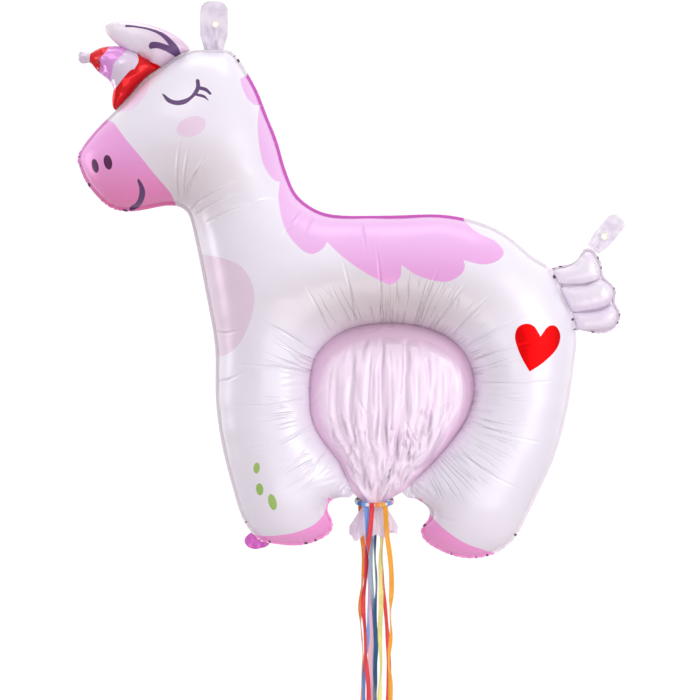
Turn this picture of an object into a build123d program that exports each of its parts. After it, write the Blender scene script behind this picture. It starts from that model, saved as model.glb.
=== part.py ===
"""A foil balloon pinata in the shape of a small horse with a horn.

Two printed foil sheets are welded round their edge and inflated into a horseshoe-shaped body, with
horn, ear and tail chambers beside it. A film pouch fills the middle. Its neck is gathered through a
ring, and ribbons hang from the ring: pulling them slides the ring off, and the pouch opens.

Frame, in millimetres: the origin is the centre of the hole in the head's hanging tab. +X runs towards
the tail, +Z is up, and the seam lies in the plane Y = 0. The camera side of the object is -Y.
"""
from build123d import *

import math
import os

import numpy as np
from scipy.interpolate import RegularGridInterpolator
from scipy.spatial import Delaunay

# ---- driving dimensions, mm ----
SEAM_WIDTH = 7.0  # the flat welded band round each chamber
SEAM_THICK = 1.6  # both sheets and the weld, drawn thicker than the real film
FILM_THICK = 2.0  # one inflated sheet, drawn thicker than the real film
FILM_LAP = 4.0  # how far inside the outline an inflated sheet starts
TAB_THICK = 1.2
TAB_GAP = 1.2  # between a hanging tab's root and the seam that it bends on
HANG_HOLE_R = 4.5
POUCH_SPACING = 14.0
BODY_SPACING = 24.0  # width of the flat triangles that an inflated sheet is made of
ROUNDNESS = 0.92  # height of an inflated tube over its half width
SMALL_SPACING = 9.0  # the same for the horn, ear and tail
SMALL_ROUNDNESS = 0.85
SMALL_FILM = 1.2

RING_CENTRE = (262.0, 0.0, -786.0)
RING_R = 30.0
RING_TUBE_R = 3.0
RING_TILT = 10.0  # degrees, with the front edge lower
LOOP_R = 4.1  # outside a ribbon's turns round the ring's tube
LOOP_LONG = 9.0
NECK_R = 19.0  # half the gathered neck's width
NECK_END_Z = -797.0
POUCH_ROUNDNESS = 0.65
POUCH_FILM = 1.5
POUCH_LAP = 3.0  # how far the pouch's film laps onto the body's seam
SKIRT_FILM = 1.2
SKIRT_SECTIONS = [(-797.5, 19.5, 14.5), (-818.0, 30.0, 16.5), (-838.0, 38.5, 18.0), (-855.0, 37.0, 17.5)]

RIBBON_WIDTH = 9.0
RIBBON_THICK = 0.8

# ---- outlines in the seam's plane, as (x, z) ----
REAR_TIP = (309, -772)  # where the rear leg's inner edge meets the pouch's neck
FRONT_TIP = (228, -775)

# round the pouch, from the rear leg over the top to the front leg
HOLE = [
    REAR_TIP, (331, -746), (362, -716), (396, -675), (418, -638), (425, -596), (417, -558), (390, -523),
    (345, -502), (295, -494), (245, -498), (200, -514), (168, -546), (157, -600), (162, -656),
    (183, -692), (206, -722), (218, -748), FRONT_TIP,
]
# the front leg's notch and hoof, up the leg and chest to the throat
FRONT_LEG = [
    FRONT_TIP, (203, -781), (188, -789), (185, -801), (194, -824), (190, -838), (175, -849), (155, -857),
    (125, -860), (96, -857), (74, -852), (59, -838), (45, -816), (34, -784), (20, -734), (8, -680),
    (2, -636), (0, -587), (0, -541), (-5, -500), (-16, -442), (-29, -375), (-39, -330), (-47, -310),
]
# under the jaw, round the muzzle and up the nose to the poll
HEAD = [
    (-58, -302), (-76, -299), (-98, -302), (-129, -308), (-158, -308), (-181, -298), (-198, -281),
    (-213, -262), (-223, -240), (-228, -221), (-219, -202), (-200, -178), (-180, -157), (-160, -138),
    (-142, -120), (-123, -98), (-105, -82), (-86, -69), (-66, -55), (-45, -45), (-22, -42), (3, -42),
    (22, -43),
]
# down the mane, along the back and round the rump
BACK = [
    (35, -53), (49, -74), (69, -110), (87, -156), (101, -190), (111, -225), (121, -255), (134, -281),
    (154, -299), (176, -310), (202, -315), (250, -316), (310, -315), (371, -314), (420, -322),
    (469, -341), (505, -368), (530, -388), (552, -402), (563, -421), (573, -446), (587, -474),
    (595, -503),
]
# down the rear leg and round its hoof and notch
REAR_LEG = [
    (594, -542), (589, -580), (582, -628), (571, -675), (557, -719), (536, -765), (514, -811),
    (495, -846), (470, -869), (438, -880), (396, -878), (359, -862), (341, -846), (339, -832),
    (350, -818), (353, -803), (343, -790), (326, -781), REAR_TIP,
]
OUTER = FRONT_LEG + HEAD + BACK + REAR_LEG

HORN = [
    (-100, -70), (-118, -60), (-133, -52), (-152, -41), (-169, -38), (-184, -40), (-197, -45), (-209, -50),
    (-220, -46), (-225, -54), (-220, -62), (-209, -61), (-196, -72), (-184, -83), (-173, -93),
    (-167, -106), (-168, -121), (-162, -144), (-140, -140), (-110, -105),
]
EAR = [
    (-40, -46), (-58, -25), (-82, -11), (-110, -1), (-148, 4), (-170, 2), (-181, -4), (-174, -21),
    (-160, -34), (-144, -44), (-126, -50), (-110, -61), (-90, -80), (-62, -70),
]
TAIL = [
    (545, -420), (565, -399), (587, -395), (602, -381), (609, -371), (619, -370), (628, -378),
    (637, -398), (640, -415), (653, -428), (661, -442), (659, -458), (667, -474), (664, -494),
    (650, -507), (622, -509), (600, -505), (575, -510),
]
TAIL_LOBES = {
    "upper": [
        (561, -408), (578, -401), (592, -394), (605, -380), (612, -375), (621, -378), (629, -391),
        (634, -408), (627, -421), (609, -428), (588, -429), (570, -424),
    ],
    "middle": [
        (573, -435), (590, -434), (612, -432), (632, -422), (648, -430), (656, -443), (652, -457),
        (637, -467), (612, -471), (590, -468),
    ],
    "lower": [
        (593, -477), (614, -476), (636, -472), (653, -465), (661, -475), (659, -491), (647, -501),
        (622, -504), (602, -499),
    ],
}
INFLATION_NECK = [(84, -846), (88, -858), (72, -865), (57, -864), (48, -853), (60, -838), (75, -835)]
VALVE_START = (66, -845)  # just inside the heel of the front hoof
VALVE_SIZE = (90.0, 16.0, 0.8)
VALVE_LEAN = 62.0  # degrees above +X

HEAD_TAB_BOX = (-26.0, 21.0, -42.0, 38.0)  # left, right, root and top
HEAD_TAB_CORNER = 11.0
TAIL_TAB_ROOT = (623.4, -371.0)
TAIL_TAB_LEAN = 49.4  # degrees above +X
TAIL_TAB_SIZE = (68.0, 32.0)  # long, wide
TAIL_TAB_CORNER = 10.0
TAIL_TAB_HOLE = 28.0  # from the root, along the tab

# ---- ribbons: place on the ring, then the route down, as (x, y, z) ----
RIBBONS = {
    "ribbon_gold_left": [
        (239, 17, -786), (240, 17, -830), (246, 17, -878), (241, 16, -935), (238, 15, -978),
        (243, 15, -1030), (245, 16, -1087), (242, 17, -1142),
    ],
    "ribbon_red_left": [
        (258, -31, -794), (256, -30, -829), (249, -28, -866), (248, -26, -910), (242, -25, -950),
        (247, -25, -1000), (247, -26, -1045), (254, -27, -1098), (251, -28, -1150),
    ],
    "ribbon_pale_pink": [
        (250, 27, -784.4), (248, 27, -838), (252, 26, -895), (254, 26, -952), (257, 25, -1004),
        (255, 25, -1052), (257, 25, -1106), (258, 25, -1158),
    ],
    "ribbon_blue_left": [
        (249, -27, -794), (251, -28, -840), (253, -24, -900), (251, -21, -960), (252, -20, -1000),
        (247, -20, -1040), (243, -20, -1089), (245, -20, -1138),
    ],
    "ribbon_pale_blue": [
        (258, 30, -784), (257, 31, -840), (255, 32, -898), (259, 32, -958), (262, 31, -1018),
        (259, 30, -1082), (261, 30, -1146),
    ],
    "ribbon_dark_blue": [
        (266, 29, -784), (265, 28, -826), (262, 28, -872), (267, 28, -928), (262, 28, -976),
        (266, 28, -1026), (263, 28, -1066), (265, 28, -1110), (264, 28, -1154),
    ],
    "ribbon_yellow": [
        (276, 25, -784.5), (275, 23, -838), (272, 22, -894), (274, 22, -950), (271, 21, -1010),
        (274, 21, -1058), (271, 21, -1103), (270, 21, -1148),
    ],
    "ribbon_red_right": [
        (279, 27, -784.4), (275, 27, -836), (275, 27, -892), (279, 26, -950), (284, 25, -1008),
        (287, 25, -1060), (286, 25, -1111), (282, 25, -1160),
    ],
    "ribbon_orange_right": [
        (280, -24, -793.4), (281, -24, -834), (288, -23, -876), (291, -21, -923), (287, -20, -970),
        (290, -20, -1006), (284, -20, -1046), (290, -20, -1093), (286, -20, -1140),
    ],
}
STRETCH = 5  # points to one piece of an outline
ROUND_ARC = 0.45  # a route's arc, as a share of the shorter run over the tangent of half the turn


def normals(points, closed=True):
    """The unit normal at each point of a path, to its left: out of an outline that runs clockwise."""
    p = np.array(points, float)
    ahead, behind = np.roll(p, -1, 0) - p, p - np.roll(p, 1, 0)
    if not closed:
        ahead[-1], behind[0] = behind[-1], ahead[0]
    along = ahead / np.linalg.norm(ahead, axis=1)[:, None] + behind / np.linalg.norm(behind, axis=1)[:, None]
    along /= np.linalg.norm(along, axis=1)[:, None]
    return np.column_stack([-along[:, 1], along[:, 0]])


def moved(points, outward, closed=True):
    """The points of an outline, each moved outward along its normal; an open one moves to its left."""
    p = np.array(points, float)
    clockwise = np.sum(p[:, 0] * np.roll(p[:, 1], -1) - p[:, 1] * np.roll(p[:, 0], -1)) < 0
    left = outward if clockwise or not closed else -outward
    return [tuple(q) for q in p + left * normals(points, closed)]


def smooth_edges(points, closed=False):
    """A smooth path through (x, z) points in the plane Y = 0, in pieces of a few points each."""
    path = Spline(*[(x, 0, z) for x, z in points], periodic=closed)
    count = max(1, len(points) // STRETCH)
    return [path.trim(i / count, (i + 1) / count) for i in range(count)]


def face_of(*paths):
    """A face in the plane Y = 0, bounded by one closed smooth path or by open ones that meet."""
    edges = [e for path in paths for e in smooth_edges(path, closed=len(paths) == 1)]
    return Face(Wire(edges))


def plate(face, thick):
    """A flat sheet of the given thickness, centred on a face in the plane Y = 0."""
    return extrude(face, amount=thick / 2, dir=(0, 1, 0), both=True)


def polygon(face, step):
    """Points along a face's outer edge, as an array of (x, z)."""
    places = []
    for edge in face.outer_wire().order_edges():
        count = max(1, round(edge.length / step))
        places += [edge.position_at(i / count) for i in range(count)]
    return np.array([(p.X, p.Z) for p in places])


def inside(outline, x, z):
    """Whether each place (x, z) is inside the outline, by counting crossings."""
    hit = np.zeros(np.shape(x), bool)
    for (x0, z0), (x1, z1) in zip(outline, np.roll(outline, -1, 0)):
        if z0 != z1:
            hit ^= ((z < z0) != (z < z1)) & (x < x0 + (z - z0) * (x1 - x0) / (z1 - z0))
    return hit


def inflated(face, step, roundness):
    """How high a sheet with this outline stands when it is inflated, as a function of (x, z).

    A membrane under an even pressure, held down at its edge, has a height f whose second derivative
    is the same everywhere. The root of 2 f is a half circle over a long tube, and a flattened dome
    over a disc, as foil takes them.
    """
    edge = polygon(face, step)
    low, high = edge.min(0) - 3 * step, edge.max(0) + 3 * step
    xs, zs = np.arange(low[0], high[0], step), np.arange(low[1], high[1], step)
    x, z = np.meshgrid(xs, zs, indexing="ij")
    free = inside(edge, x, z)
    f = np.zeros(x.shape)
    odd = np.add.outer(np.arange(len(xs)), np.arange(len(zs))) % 2 == 1
    over = 2 / (1 + math.pi / max(x.shape))
    for _ in range(4 * max(x.shape)):
        for colour in (odd & free, ~odd & free):
            mean = np.zeros(x.shape)
            mean[1:-1, 1:-1] = f[2:, 1:-1] + f[:-2, 1:-1] + f[1:-1, 2:] + f[1:-1, :-2] + step**2
            f[colour] += over * (mean / 4 - f)[colour]
    heights = RegularGridInterpolator((xs, zs), f)
    return lambda places: roundness * np.sqrt(2 * np.maximum(heights(places), 0))


def shell(low, high, triangles, rim):
    """A closed solid between two sheets of the same triangles, joined along their rim."""
    count = len(low)
    corners = [Vector(*p) for p in np.vstack([low, high])]
    loops = [tuple(t[::-1]) for t in triangles] + [tuple(t + count) for t in triangles]
    for i, j in rim:
        loops += [(i, j, j + count), (i, j + count, i + count)]
    return Solid(Shell([Face(Wire.make_polygon([corners[k] for k in loop], close=True)) for loop in loops]))


def film(region, whole, spacing, roundness, side, thick=FILM_THICK, base=SEAM_THICK / 2):
    """One sheet of a chamber, standing on the seam plate's face at Y = side * base.

    region is the sheet's outline, and whole is the outline that is inflated, which is larger where
    the sheet has an open mouth. The sheet is made of flat triangles about as wide as spacing.
    """
    edge = polygon(region, spacing)
    height = inflated(whole, spacing / 4, roundness)
    low, high = edge.min(0), edge.max(0)
    rows = np.arange(low[1] + spacing / 2, high[1], spacing * math.sqrt(3) / 2)
    grid = [
        (x, z) for i, z in enumerate(rows) for x in np.arange(low[0] + (i % 2) * spacing / 2, high[0], spacing)
    ]
    grid = np.array([p for p in grid if np.hypot(*(edge - p).T).min() > 0.62 * spacing])
    places = np.vstack([edge, grid[inside(edge, *grid.T)]])
    triangles = Delaunay(places).simplices
    middle = places[triangles].mean(1)
    triangles = triangles[inside(edge, *middle.T)]
    a, b, c = (places[triangles[:, k]] for k in range(3))
    turn = (b[:, 0] - a[:, 0]) * (c[:, 1] - a[:, 1]) - (b[:, 1] - a[:, 1]) * (c[:, 0] - a[:, 0])
    triangles = np.where((turn > 0)[:, None], triangles, triangles[:, ::-1])
    held = np.arange(len(places)) < len(edge)
    if region is whole:
        rise = np.where(held, 0.0, height(places))
    else:
        rise = height(places)
    sides = {(i, j) for t in triangles for i, j in zip(t, np.roll(t, -1))}
    rim = [(i, j) for i, j in sides if (j, i) not in sides]
    lower = np.column_stack([places[:, 0], side * (base + rise), places[:, 1]])
    upper = lower + [0, side * thick, 0]
    return shell(lower, upper, triangles, rim)


def films(region, whole, spacing, roundness, **more):
    """The front and back sheets of a chamber."""
    return [film(region, whole, spacing, roundness, side, **more) for side in (-1, 1)]


BODY_LOOP = HOLE[:-1] + OUTER[:-1]


def body():
    seam = plate(face_of(HOLE, OUTER), SEAM_THICK) - plate(face_of(moved(BODY_LOOP, -SEAM_WIDTH)), 9)
    region = face_of(moved(BODY_LOOP, -FILM_LAP))
    front, back = films(region, region, BODY_SPACING, ROUNDNESS)
    return {"body_seam": seam, "body_front_film": front, "body_back_film": back}


def without(face, *others):
    """The largest piece of a flat face that is left when others are taken from it."""
    for other in others:
        face = (face - other).faces().sort_by(SortBy.AREA)[-1]
    return face


def side_chamber(name, outline, lobes, keep_out):
    """A small chamber, or a row of lobes, on one seam plate that ends at its neighbours' outlines."""
    others = [face_of(o) for o in keep_out]
    whole = without(face_of(outline), *others)
    seam = plate(whole, SEAM_THICK)
    fronts, backs = [], []
    for lobe in lobes:
        region = without(face_of(lobe), *others)
        front, back = films(region, region, SMALL_SPACING, SMALL_ROUNDNESS, thick=SMALL_FILM)
        fronts.append(front)
        backs.append(back)
    return {
        f"{name}_seam": seam,
        f"{name}_front_film": Compound(fronts),
        f"{name}_back_film": Compound(backs),
    }


def tab(size, corner, hole, root, lean):
    """A flat hanging tab with a punched hole, hole giving its place along and across the tab. The tab's
    root is at (x, z), and it leans at an angle above +X."""
    sheet = Rectangle(*size, align=(Align.MIN, Align.CENTER))
    sheet = fillet(sheet.vertices().sort_by(Axis.X)[-2:], corner)
    sheet -= Pos(*hole) * Circle(HANG_HOLE_R)
    sheet -= Rectangle(TAB_GAP, size[1], align=(Align.MIN, Align.CENTER))
    along = (math.cos(math.radians(lean)), 0, math.sin(math.radians(lean)))
    place = Plane(origin=(root[0], 0, root[1]), x_dir=along, z_dir=(0, -1, 0))
    return extrude(place * sheet, amount=TAB_THICK / 2, both=True)


def tabs():
    left, right, root, top = HEAD_TAB_BOX
    middle = (left + right) / 2
    head = tab((top - root, right - left), HEAD_TAB_CORNER, (-root, middle), (middle, root), 90)
    tail = tab(TAIL_TAB_SIZE, TAIL_TAB_CORNER, (TAIL_TAB_HOLE, 0), TAIL_TAB_ROOT, TAIL_TAB_LEAN)
    return {"head_hang_tab": head, "tail_hang_tab": tail}


def inflation(body_face, seam):
    """The film stub that the gas goes in by, and the flat self-sealing sleeve behind it."""
    neck = plate(without(face_of(INFLATION_NECK), body_face), TAB_THICK)
    long, wide, thick = VALVE_SIZE
    lean = math.radians(VALVE_LEAN)
    along = (math.cos(lean), 0, math.sin(lean))
    place = Plane(origin=(VALVE_START[0], 0, VALVE_START[1]), x_dir=along, z_dir=(0, -1, 0))
    sleeve = place * Rectangle(long, wide, align=(Align.MIN, Align.CENTER))
    valve = extrude(sleeve, amount=thick / 2, both=True) - neck - seam
    return {"inflation_neck": neck, "inflation_valve": valve.solids().sort_by(SortBy.VOLUME)[-1]}


def pouch():
    """The film bag that fills the middle, with its open gathered neck. It laps onto the body's seam."""
    x, _, z = RING_CENTRE
    sides = moved(HOLE, -POUCH_LAP, closed=False)[1:-1]
    right, left = x + NECK_R, x - NECK_R
    edge = [(right, z - 60), (right, z - 30), (right, z - 9), (right + 1, z + 2), (right + 7, z + 10)]
    edge += [(right + 24, z + 20), *sides, (left - 11, z + 21)]
    edge += [(left - 3, z + 11), (left - 1, z + 4), (left, z - 9), (left, z - 30), (left, z - 60)]
    whole = Face(Wire([*smooth_edges(edge), Line((left, 0, z - 60), (right, 0, z - 60))]))
    below = Plane.XZ * Pos(x, NECK_END_Z - 100) * Rectangle(200, 200)
    region = without(whole, below.face())
    front, back = films(region, whole, POUCH_SPACING, POUCH_ROUNDNESS, thick=POUCH_FILM)
    return {"candy_pouch": Compound([front, back])}


def skirt():
    """The end of the pouch's film, which flares out below the ring."""
    x = RING_CENTRE[0]
    outside, inside_ = (
        loft([Pos(x, 0, z) * Ellipse(a - less, b - less) for z, a, b in SKIRT_SECTIONS])
        for less in (0, SKIRT_FILM)
    )
    return {"pouch_skirt": outside - inside_}


def ring_place(angle):
    """The frame on the ring's tube at an angle from +X, with its x direction along the tube."""
    at = Pos(*RING_CENTRE) * Rot(RING_TILT, 0, 0) * Rot(0, 0, angle) * Pos(RING_R, 0, 0)
    return at * Rot(90, 0, 0)


def ring():
    torus = Pos(*RING_CENTRE) * Rot(RING_TILT, 0, 0) * Torus(RING_R, RING_TUBE_R)
    loops = []
    for route in RIBBONS.values():
        x, y, _ = route[0]
        angle = math.degrees(math.atan2(y, x - RING_CENTRE[0]))
        loops.append(ring_place(angle) * Cylinder(LOOP_R, LOOP_LONG) - torus)
    return {"release_ring": torus, "ribbon_loops": loops}


def ribbon(name, route):
    """A flat ribbon along straight runs joined by arcs."""
    points = [Vector(*p) for p in route]
    radii = []
    for a, b, c in zip(points, points[1:], points[2:]):
        turn = math.radians((b - a).get_angle(c - b))
        radii.append(ROUND_ARC * min((b - a).length, (c - b).length) / math.tan(turn / 2))
    path = FilletPolyline(*points, radius=radii)
    section = Plane(origin=points[0], x_dir=(1, 0, 0), z_dir=(points[1] - points[0])) * Rectangle(
        RIBBON_WIDTH, RIBBON_THICK
    )
    solid = sweep(section, path)
    length = sum(e.length for e in path.edges())
    print(name, "length", round(length), "smallest arc", round(min(radii)), end=" ")
    print("volume over section times length", round(solid.volume / (RIBBON_WIDTH * RIBBON_THICK * length), 3))
    return solid


def main():
    body_face = face_of(HOLE, OUTER)
    nodes = body()
    nodes |= side_chamber("horn", HORN, [moved(HORN, -FILM_LAP)], [BODY_LOOP])
    nodes |= side_chamber("ear", EAR, [moved(EAR, -FILM_LAP)], [BODY_LOOP, HORN])
    nodes |= side_chamber("tail", TAIL, TAIL_LOBES.values(), [BODY_LOOP])
    nodes |= tabs() | inflation(body_face, nodes["body_seam"]) | pouch() | skirt() | ring()
    for name, route in RIBBONS.items():
        nodes[name] = ribbon(name, route)
    loops = nodes["ribbon_loops"]
    os.makedirs("parts", exist_ok=True)
    for name, solid in nodes.items():
        if name.startswith("ribbon_") and name != "ribbon_loops":
            for loop in loops:
                solid = solid - loop
            solid = solid.solids().sort_by(SortBy.VOLUME)[-1]
        if name == "ribbon_loops":
            solid = Compound([piece for loop in loops for piece in loop.solids()])
        export_step(solid, f"parts/{name}.step")


main()
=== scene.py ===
"""Looks for the foil balloon pinata: inflated sheets, film pouch, ring and ribbons round the CAD frame."""
import math

import bpy
import numpy as np
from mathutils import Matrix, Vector
from mathutils.geometry import delaunay_2d_cdt


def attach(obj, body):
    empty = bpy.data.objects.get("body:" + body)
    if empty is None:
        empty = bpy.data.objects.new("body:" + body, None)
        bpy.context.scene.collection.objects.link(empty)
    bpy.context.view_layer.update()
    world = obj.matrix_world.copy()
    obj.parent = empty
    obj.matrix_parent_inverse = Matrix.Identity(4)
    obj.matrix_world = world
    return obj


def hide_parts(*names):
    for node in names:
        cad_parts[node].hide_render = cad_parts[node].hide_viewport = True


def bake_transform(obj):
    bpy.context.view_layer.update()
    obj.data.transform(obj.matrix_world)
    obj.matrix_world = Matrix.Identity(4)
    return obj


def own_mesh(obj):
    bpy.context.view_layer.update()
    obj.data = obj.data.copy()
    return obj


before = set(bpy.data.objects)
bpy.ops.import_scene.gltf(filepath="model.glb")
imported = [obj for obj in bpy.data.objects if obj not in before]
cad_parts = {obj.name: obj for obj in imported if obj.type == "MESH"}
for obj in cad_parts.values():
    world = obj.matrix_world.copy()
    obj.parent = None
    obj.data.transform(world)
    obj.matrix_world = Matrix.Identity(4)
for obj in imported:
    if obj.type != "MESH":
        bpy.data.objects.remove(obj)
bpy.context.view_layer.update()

# ---- camera ----
VIEW_WIDTH = 1.155  # how much of the seam's plane the picture spans, metres
VIEW_CENTRE = (0.2219, -0.5374)
CAMERA_AWAY = 3.2

camera = bpy.data.objects.new("camera", bpy.data.cameras.new("camera"))
bpy.context.scene.collection.objects.link(camera)
camera.location = (VIEW_CENTRE[0], -CAMERA_AWAY, VIEW_CENTRE[1])
camera.rotation_euler = (math.radians(90), 0, 0)
SENSOR_WIDTH = 36  # millimetres
camera.data.sensor_width = SENSOR_WIDTH
camera.data.lens = SENSOR_WIDTH * CAMERA_AWAY / VIEW_WIDTH
bpy.context.scene.camera = camera

# ---- ribbons: the same routes as the CAD solids, in millimetres ----
RIBBON_WIDTH = 0.009
RIBBONS = {
    "ribbon_gold_left": [(239, 17, -786), (240, 17, -830), (246, 17, -878), (241, 16, -935), (238, 15, -978),
        (243, 15, -1030), (245, 16, -1087), (242, 17, -1142)],
    "ribbon_red_left": [(258, -31, -794), (256, -30, -829), (249, -28, -866), (248, -26, -910), (242, -25, -950),
        (247, -25, -1000), (247, -26, -1045), (254, -27, -1098), (251, -28, -1150)],
    "ribbon_pale_pink": [(250, 27, -784.4), (248, 27, -838), (252, 26, -895), (254, 26, -952), (257, 25, -1004),
        (255, 25, -1052), (257, 25, -1106), (258, 25, -1158)],
    "ribbon_blue_left": [(249, -27, -794), (251, -28, -840), (253, -24, -900), (251, -21, -960), (252, -20, -1000),
        (247, -20, -1040), (243, -20, -1089), (245, -20, -1138)],
    "ribbon_pale_blue": [(258, 30, -784), (257, 31, -840), (255, 32, -898), (259, 32, -958), (262, 31, -1018),
        (259, 30, -1082), (261, 30, -1146)],
    "ribbon_dark_blue": [(266, 29, -784), (265, 28, -826), (262, 28, -872), (267, 28, -928), (262, 28, -976),
        (266, 28, -1026), (263, 28, -1066), (265, 28, -1110), (264, 28, -1154)],
    "ribbon_yellow": [(276, 25, -784.5), (275, 23, -838), (272, 22, -894), (274, 22, -950), (271, 21, -1010),
        (274, 21, -1058), (271, 21, -1103), (270, 21, -1148)],
    "ribbon_red_right": [(279, 27, -784.4), (275, 27, -836), (275, 27, -892), (279, 26, -950), (284, 25, -1008),
        (287, 25, -1060), (286, 25, -1111), (282, 25, -1160)],
    "ribbon_orange_right": [(280, -24, -793.4), (281, -24, -834), (288, -23, -876), (291, -21, -923),
        (287, -20, -970), (290, -20, -1006), (284, -20, -1046), (290, -20, -1093), (286, -20, -1140)],
}
TWISTS = {  # how far each ribbon is turned from facing the front, in radians, at shares of its length
    "ribbon_gold_left": [(0, 0.3), (0.19, 0.2), (0.40, 1.2), (0.50, 0.3), (0.58, 1.45), (0.70, 1.4), (0.85, 0.4),
        (1, 0.2)],
    "ribbon_red_left": [(0, 0), (0.18, 0.3), (0.33, 1.0), (0.45, 0.3), (0.60, 1.1), (0.75, 0.5), (1, 0.3)],
    "ribbon_pale_pink": [(0, 0.6), (0.20, 1.1), (0.45, 1.0), (0.55, 0.2), (0.90, 0.2), (1, 0.5)],
    "ribbon_blue_left": [(0, 0), (0.15, 0.3), (0.22, 1.45), (0.50, 1.45), (0.60, 0.6), (0.75, 0.9), (1, 0.6)],
    "ribbon_pale_blue": [(0, 0), (0.50, 0.2), (0.60, 1.2), (0.80, 1.4), (1, 0.6)],
    "ribbon_dark_blue": [(0, 0.8), (0.20, 1.0), (0.35, 1.3), (0.50, 0.8), (0.62, 0.2), (0.80, 0.5), (0.88, 1.2),
        (1, 0.2)],
    "ribbon_yellow": [(0, 0.2), (0.20, 0.9), (0.40, 0.3), (0.65, 0.4), (0.78, 1.3), (0.90, 0.4), (1, 1.0)],
    "ribbon_red_right": [(0, 0.5), (0.30, 1.4), (0.42, 0.9), (0.60, 0.6), (0.80, 0.2), (1, 0.4)],
    "ribbon_orange_right": [(0, 0), (0.15, 0.2), (0.42, 0.1), (0.50, 1.45), (0.56, 1.4), (0.62, 0.5), (0.72, 1.1),
        (0.90, 0.2), (1, 0.3)],
}
HOLE_MIDDLE = np.array([0.29, -0.62])  # of the opening that the pouch fills, in X and Z
RING_SPINE = 0.030  # radius of the ring's centre line
RING_TUBE = 0.003
RING_TILT = math.radians(10)
RING_X, RING_Z = 0.262, -0.786
HOLE_RADIUS = 0.0045  # of the punched hole in a tab

# thicknesses of the sheets that are seen from the side
RIBBON_THICK = 0.0004
TURN_THICK = 0.0003
FLANGE_THICK = 0.0006
TAB_THICK = 0.0005
HOLE_EDGE_THICK = 0.0014

# how fine the meshes are: the spacing of places, and how far the rows along a rim are from it
BODY_STEP, BODY_ROWS = 0.0026, (0.0005, 0.0015, 0.003, 0.005, 0.0074)
CHAMBER_STEP, POUCH_STEP, SMALL_ROWS = 0.0022, 0.0024, (0.0005, 0.0014, 0.0028)
FILM_LIFT = 0.0008  # of a film's rim from the seam's plane
LOWEST_FILM = 0.0006
VALLEY, VALLEY_REACH = 0.010, 0.02  # where two films meet round the pouch


# ---- small helpers ----
def new_object(name, vertices, faces, material=None):
    mesh = bpy.data.meshes.new(name)
    mesh.from_pydata([tuple(v) for v in vertices], [], [tuple(f) for f in faces])
    mesh.update()
    mesh.polygons.foreach_set("use_smooth", [True] * len(mesh.polygons))
    if material:
        mesh.materials.append(material)
    obj = bpy.data.objects.new(name, mesh)
    bpy.context.scene.collection.objects.link(obj)
    return obj


def solidify(obj, thickness, offset=0.0):
    m = obj.modifiers.new("thickness", "SOLIDIFY")
    m.thickness, m.offset, m.use_even_offset = thickness, offset, False
    return obj


def place_in_frame(obj, body, node=None):
    """Puts a piece under the body that carries it, and hides the CAD node that it stands for."""
    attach(obj, body)
    if node:
        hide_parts(node)


def grid_faces(rows, columns, closed=False):
    """The quads between rows of places; closed rows run round to their own start."""
    return [
        (r * columns + c, r * columns + (c + 1) % columns, (r + 1) * columns + (c + 1) % columns, (r + 1) * columns + c)
        for r in range(rows - 1)
        for c in range(columns if closed else columns - 1)
    ]


def mm(points):
    return np.array(points, float) / 1000


def travelled(path):
    """How far along the path each of its points is."""
    return np.concatenate([[0], np.cumsum(np.linalg.norm(np.diff(path, axis=0), axis=1))])


# ---- materials ----
def rgb(r, g, b):
    """A display colour as the linear one that a shader takes."""
    return tuple(c / 12.92 if c <= 0.04045 else ((c + 0.055) / 1.055) ** 2.4 for c in (r, g, b)) + (1.0,)


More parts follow.
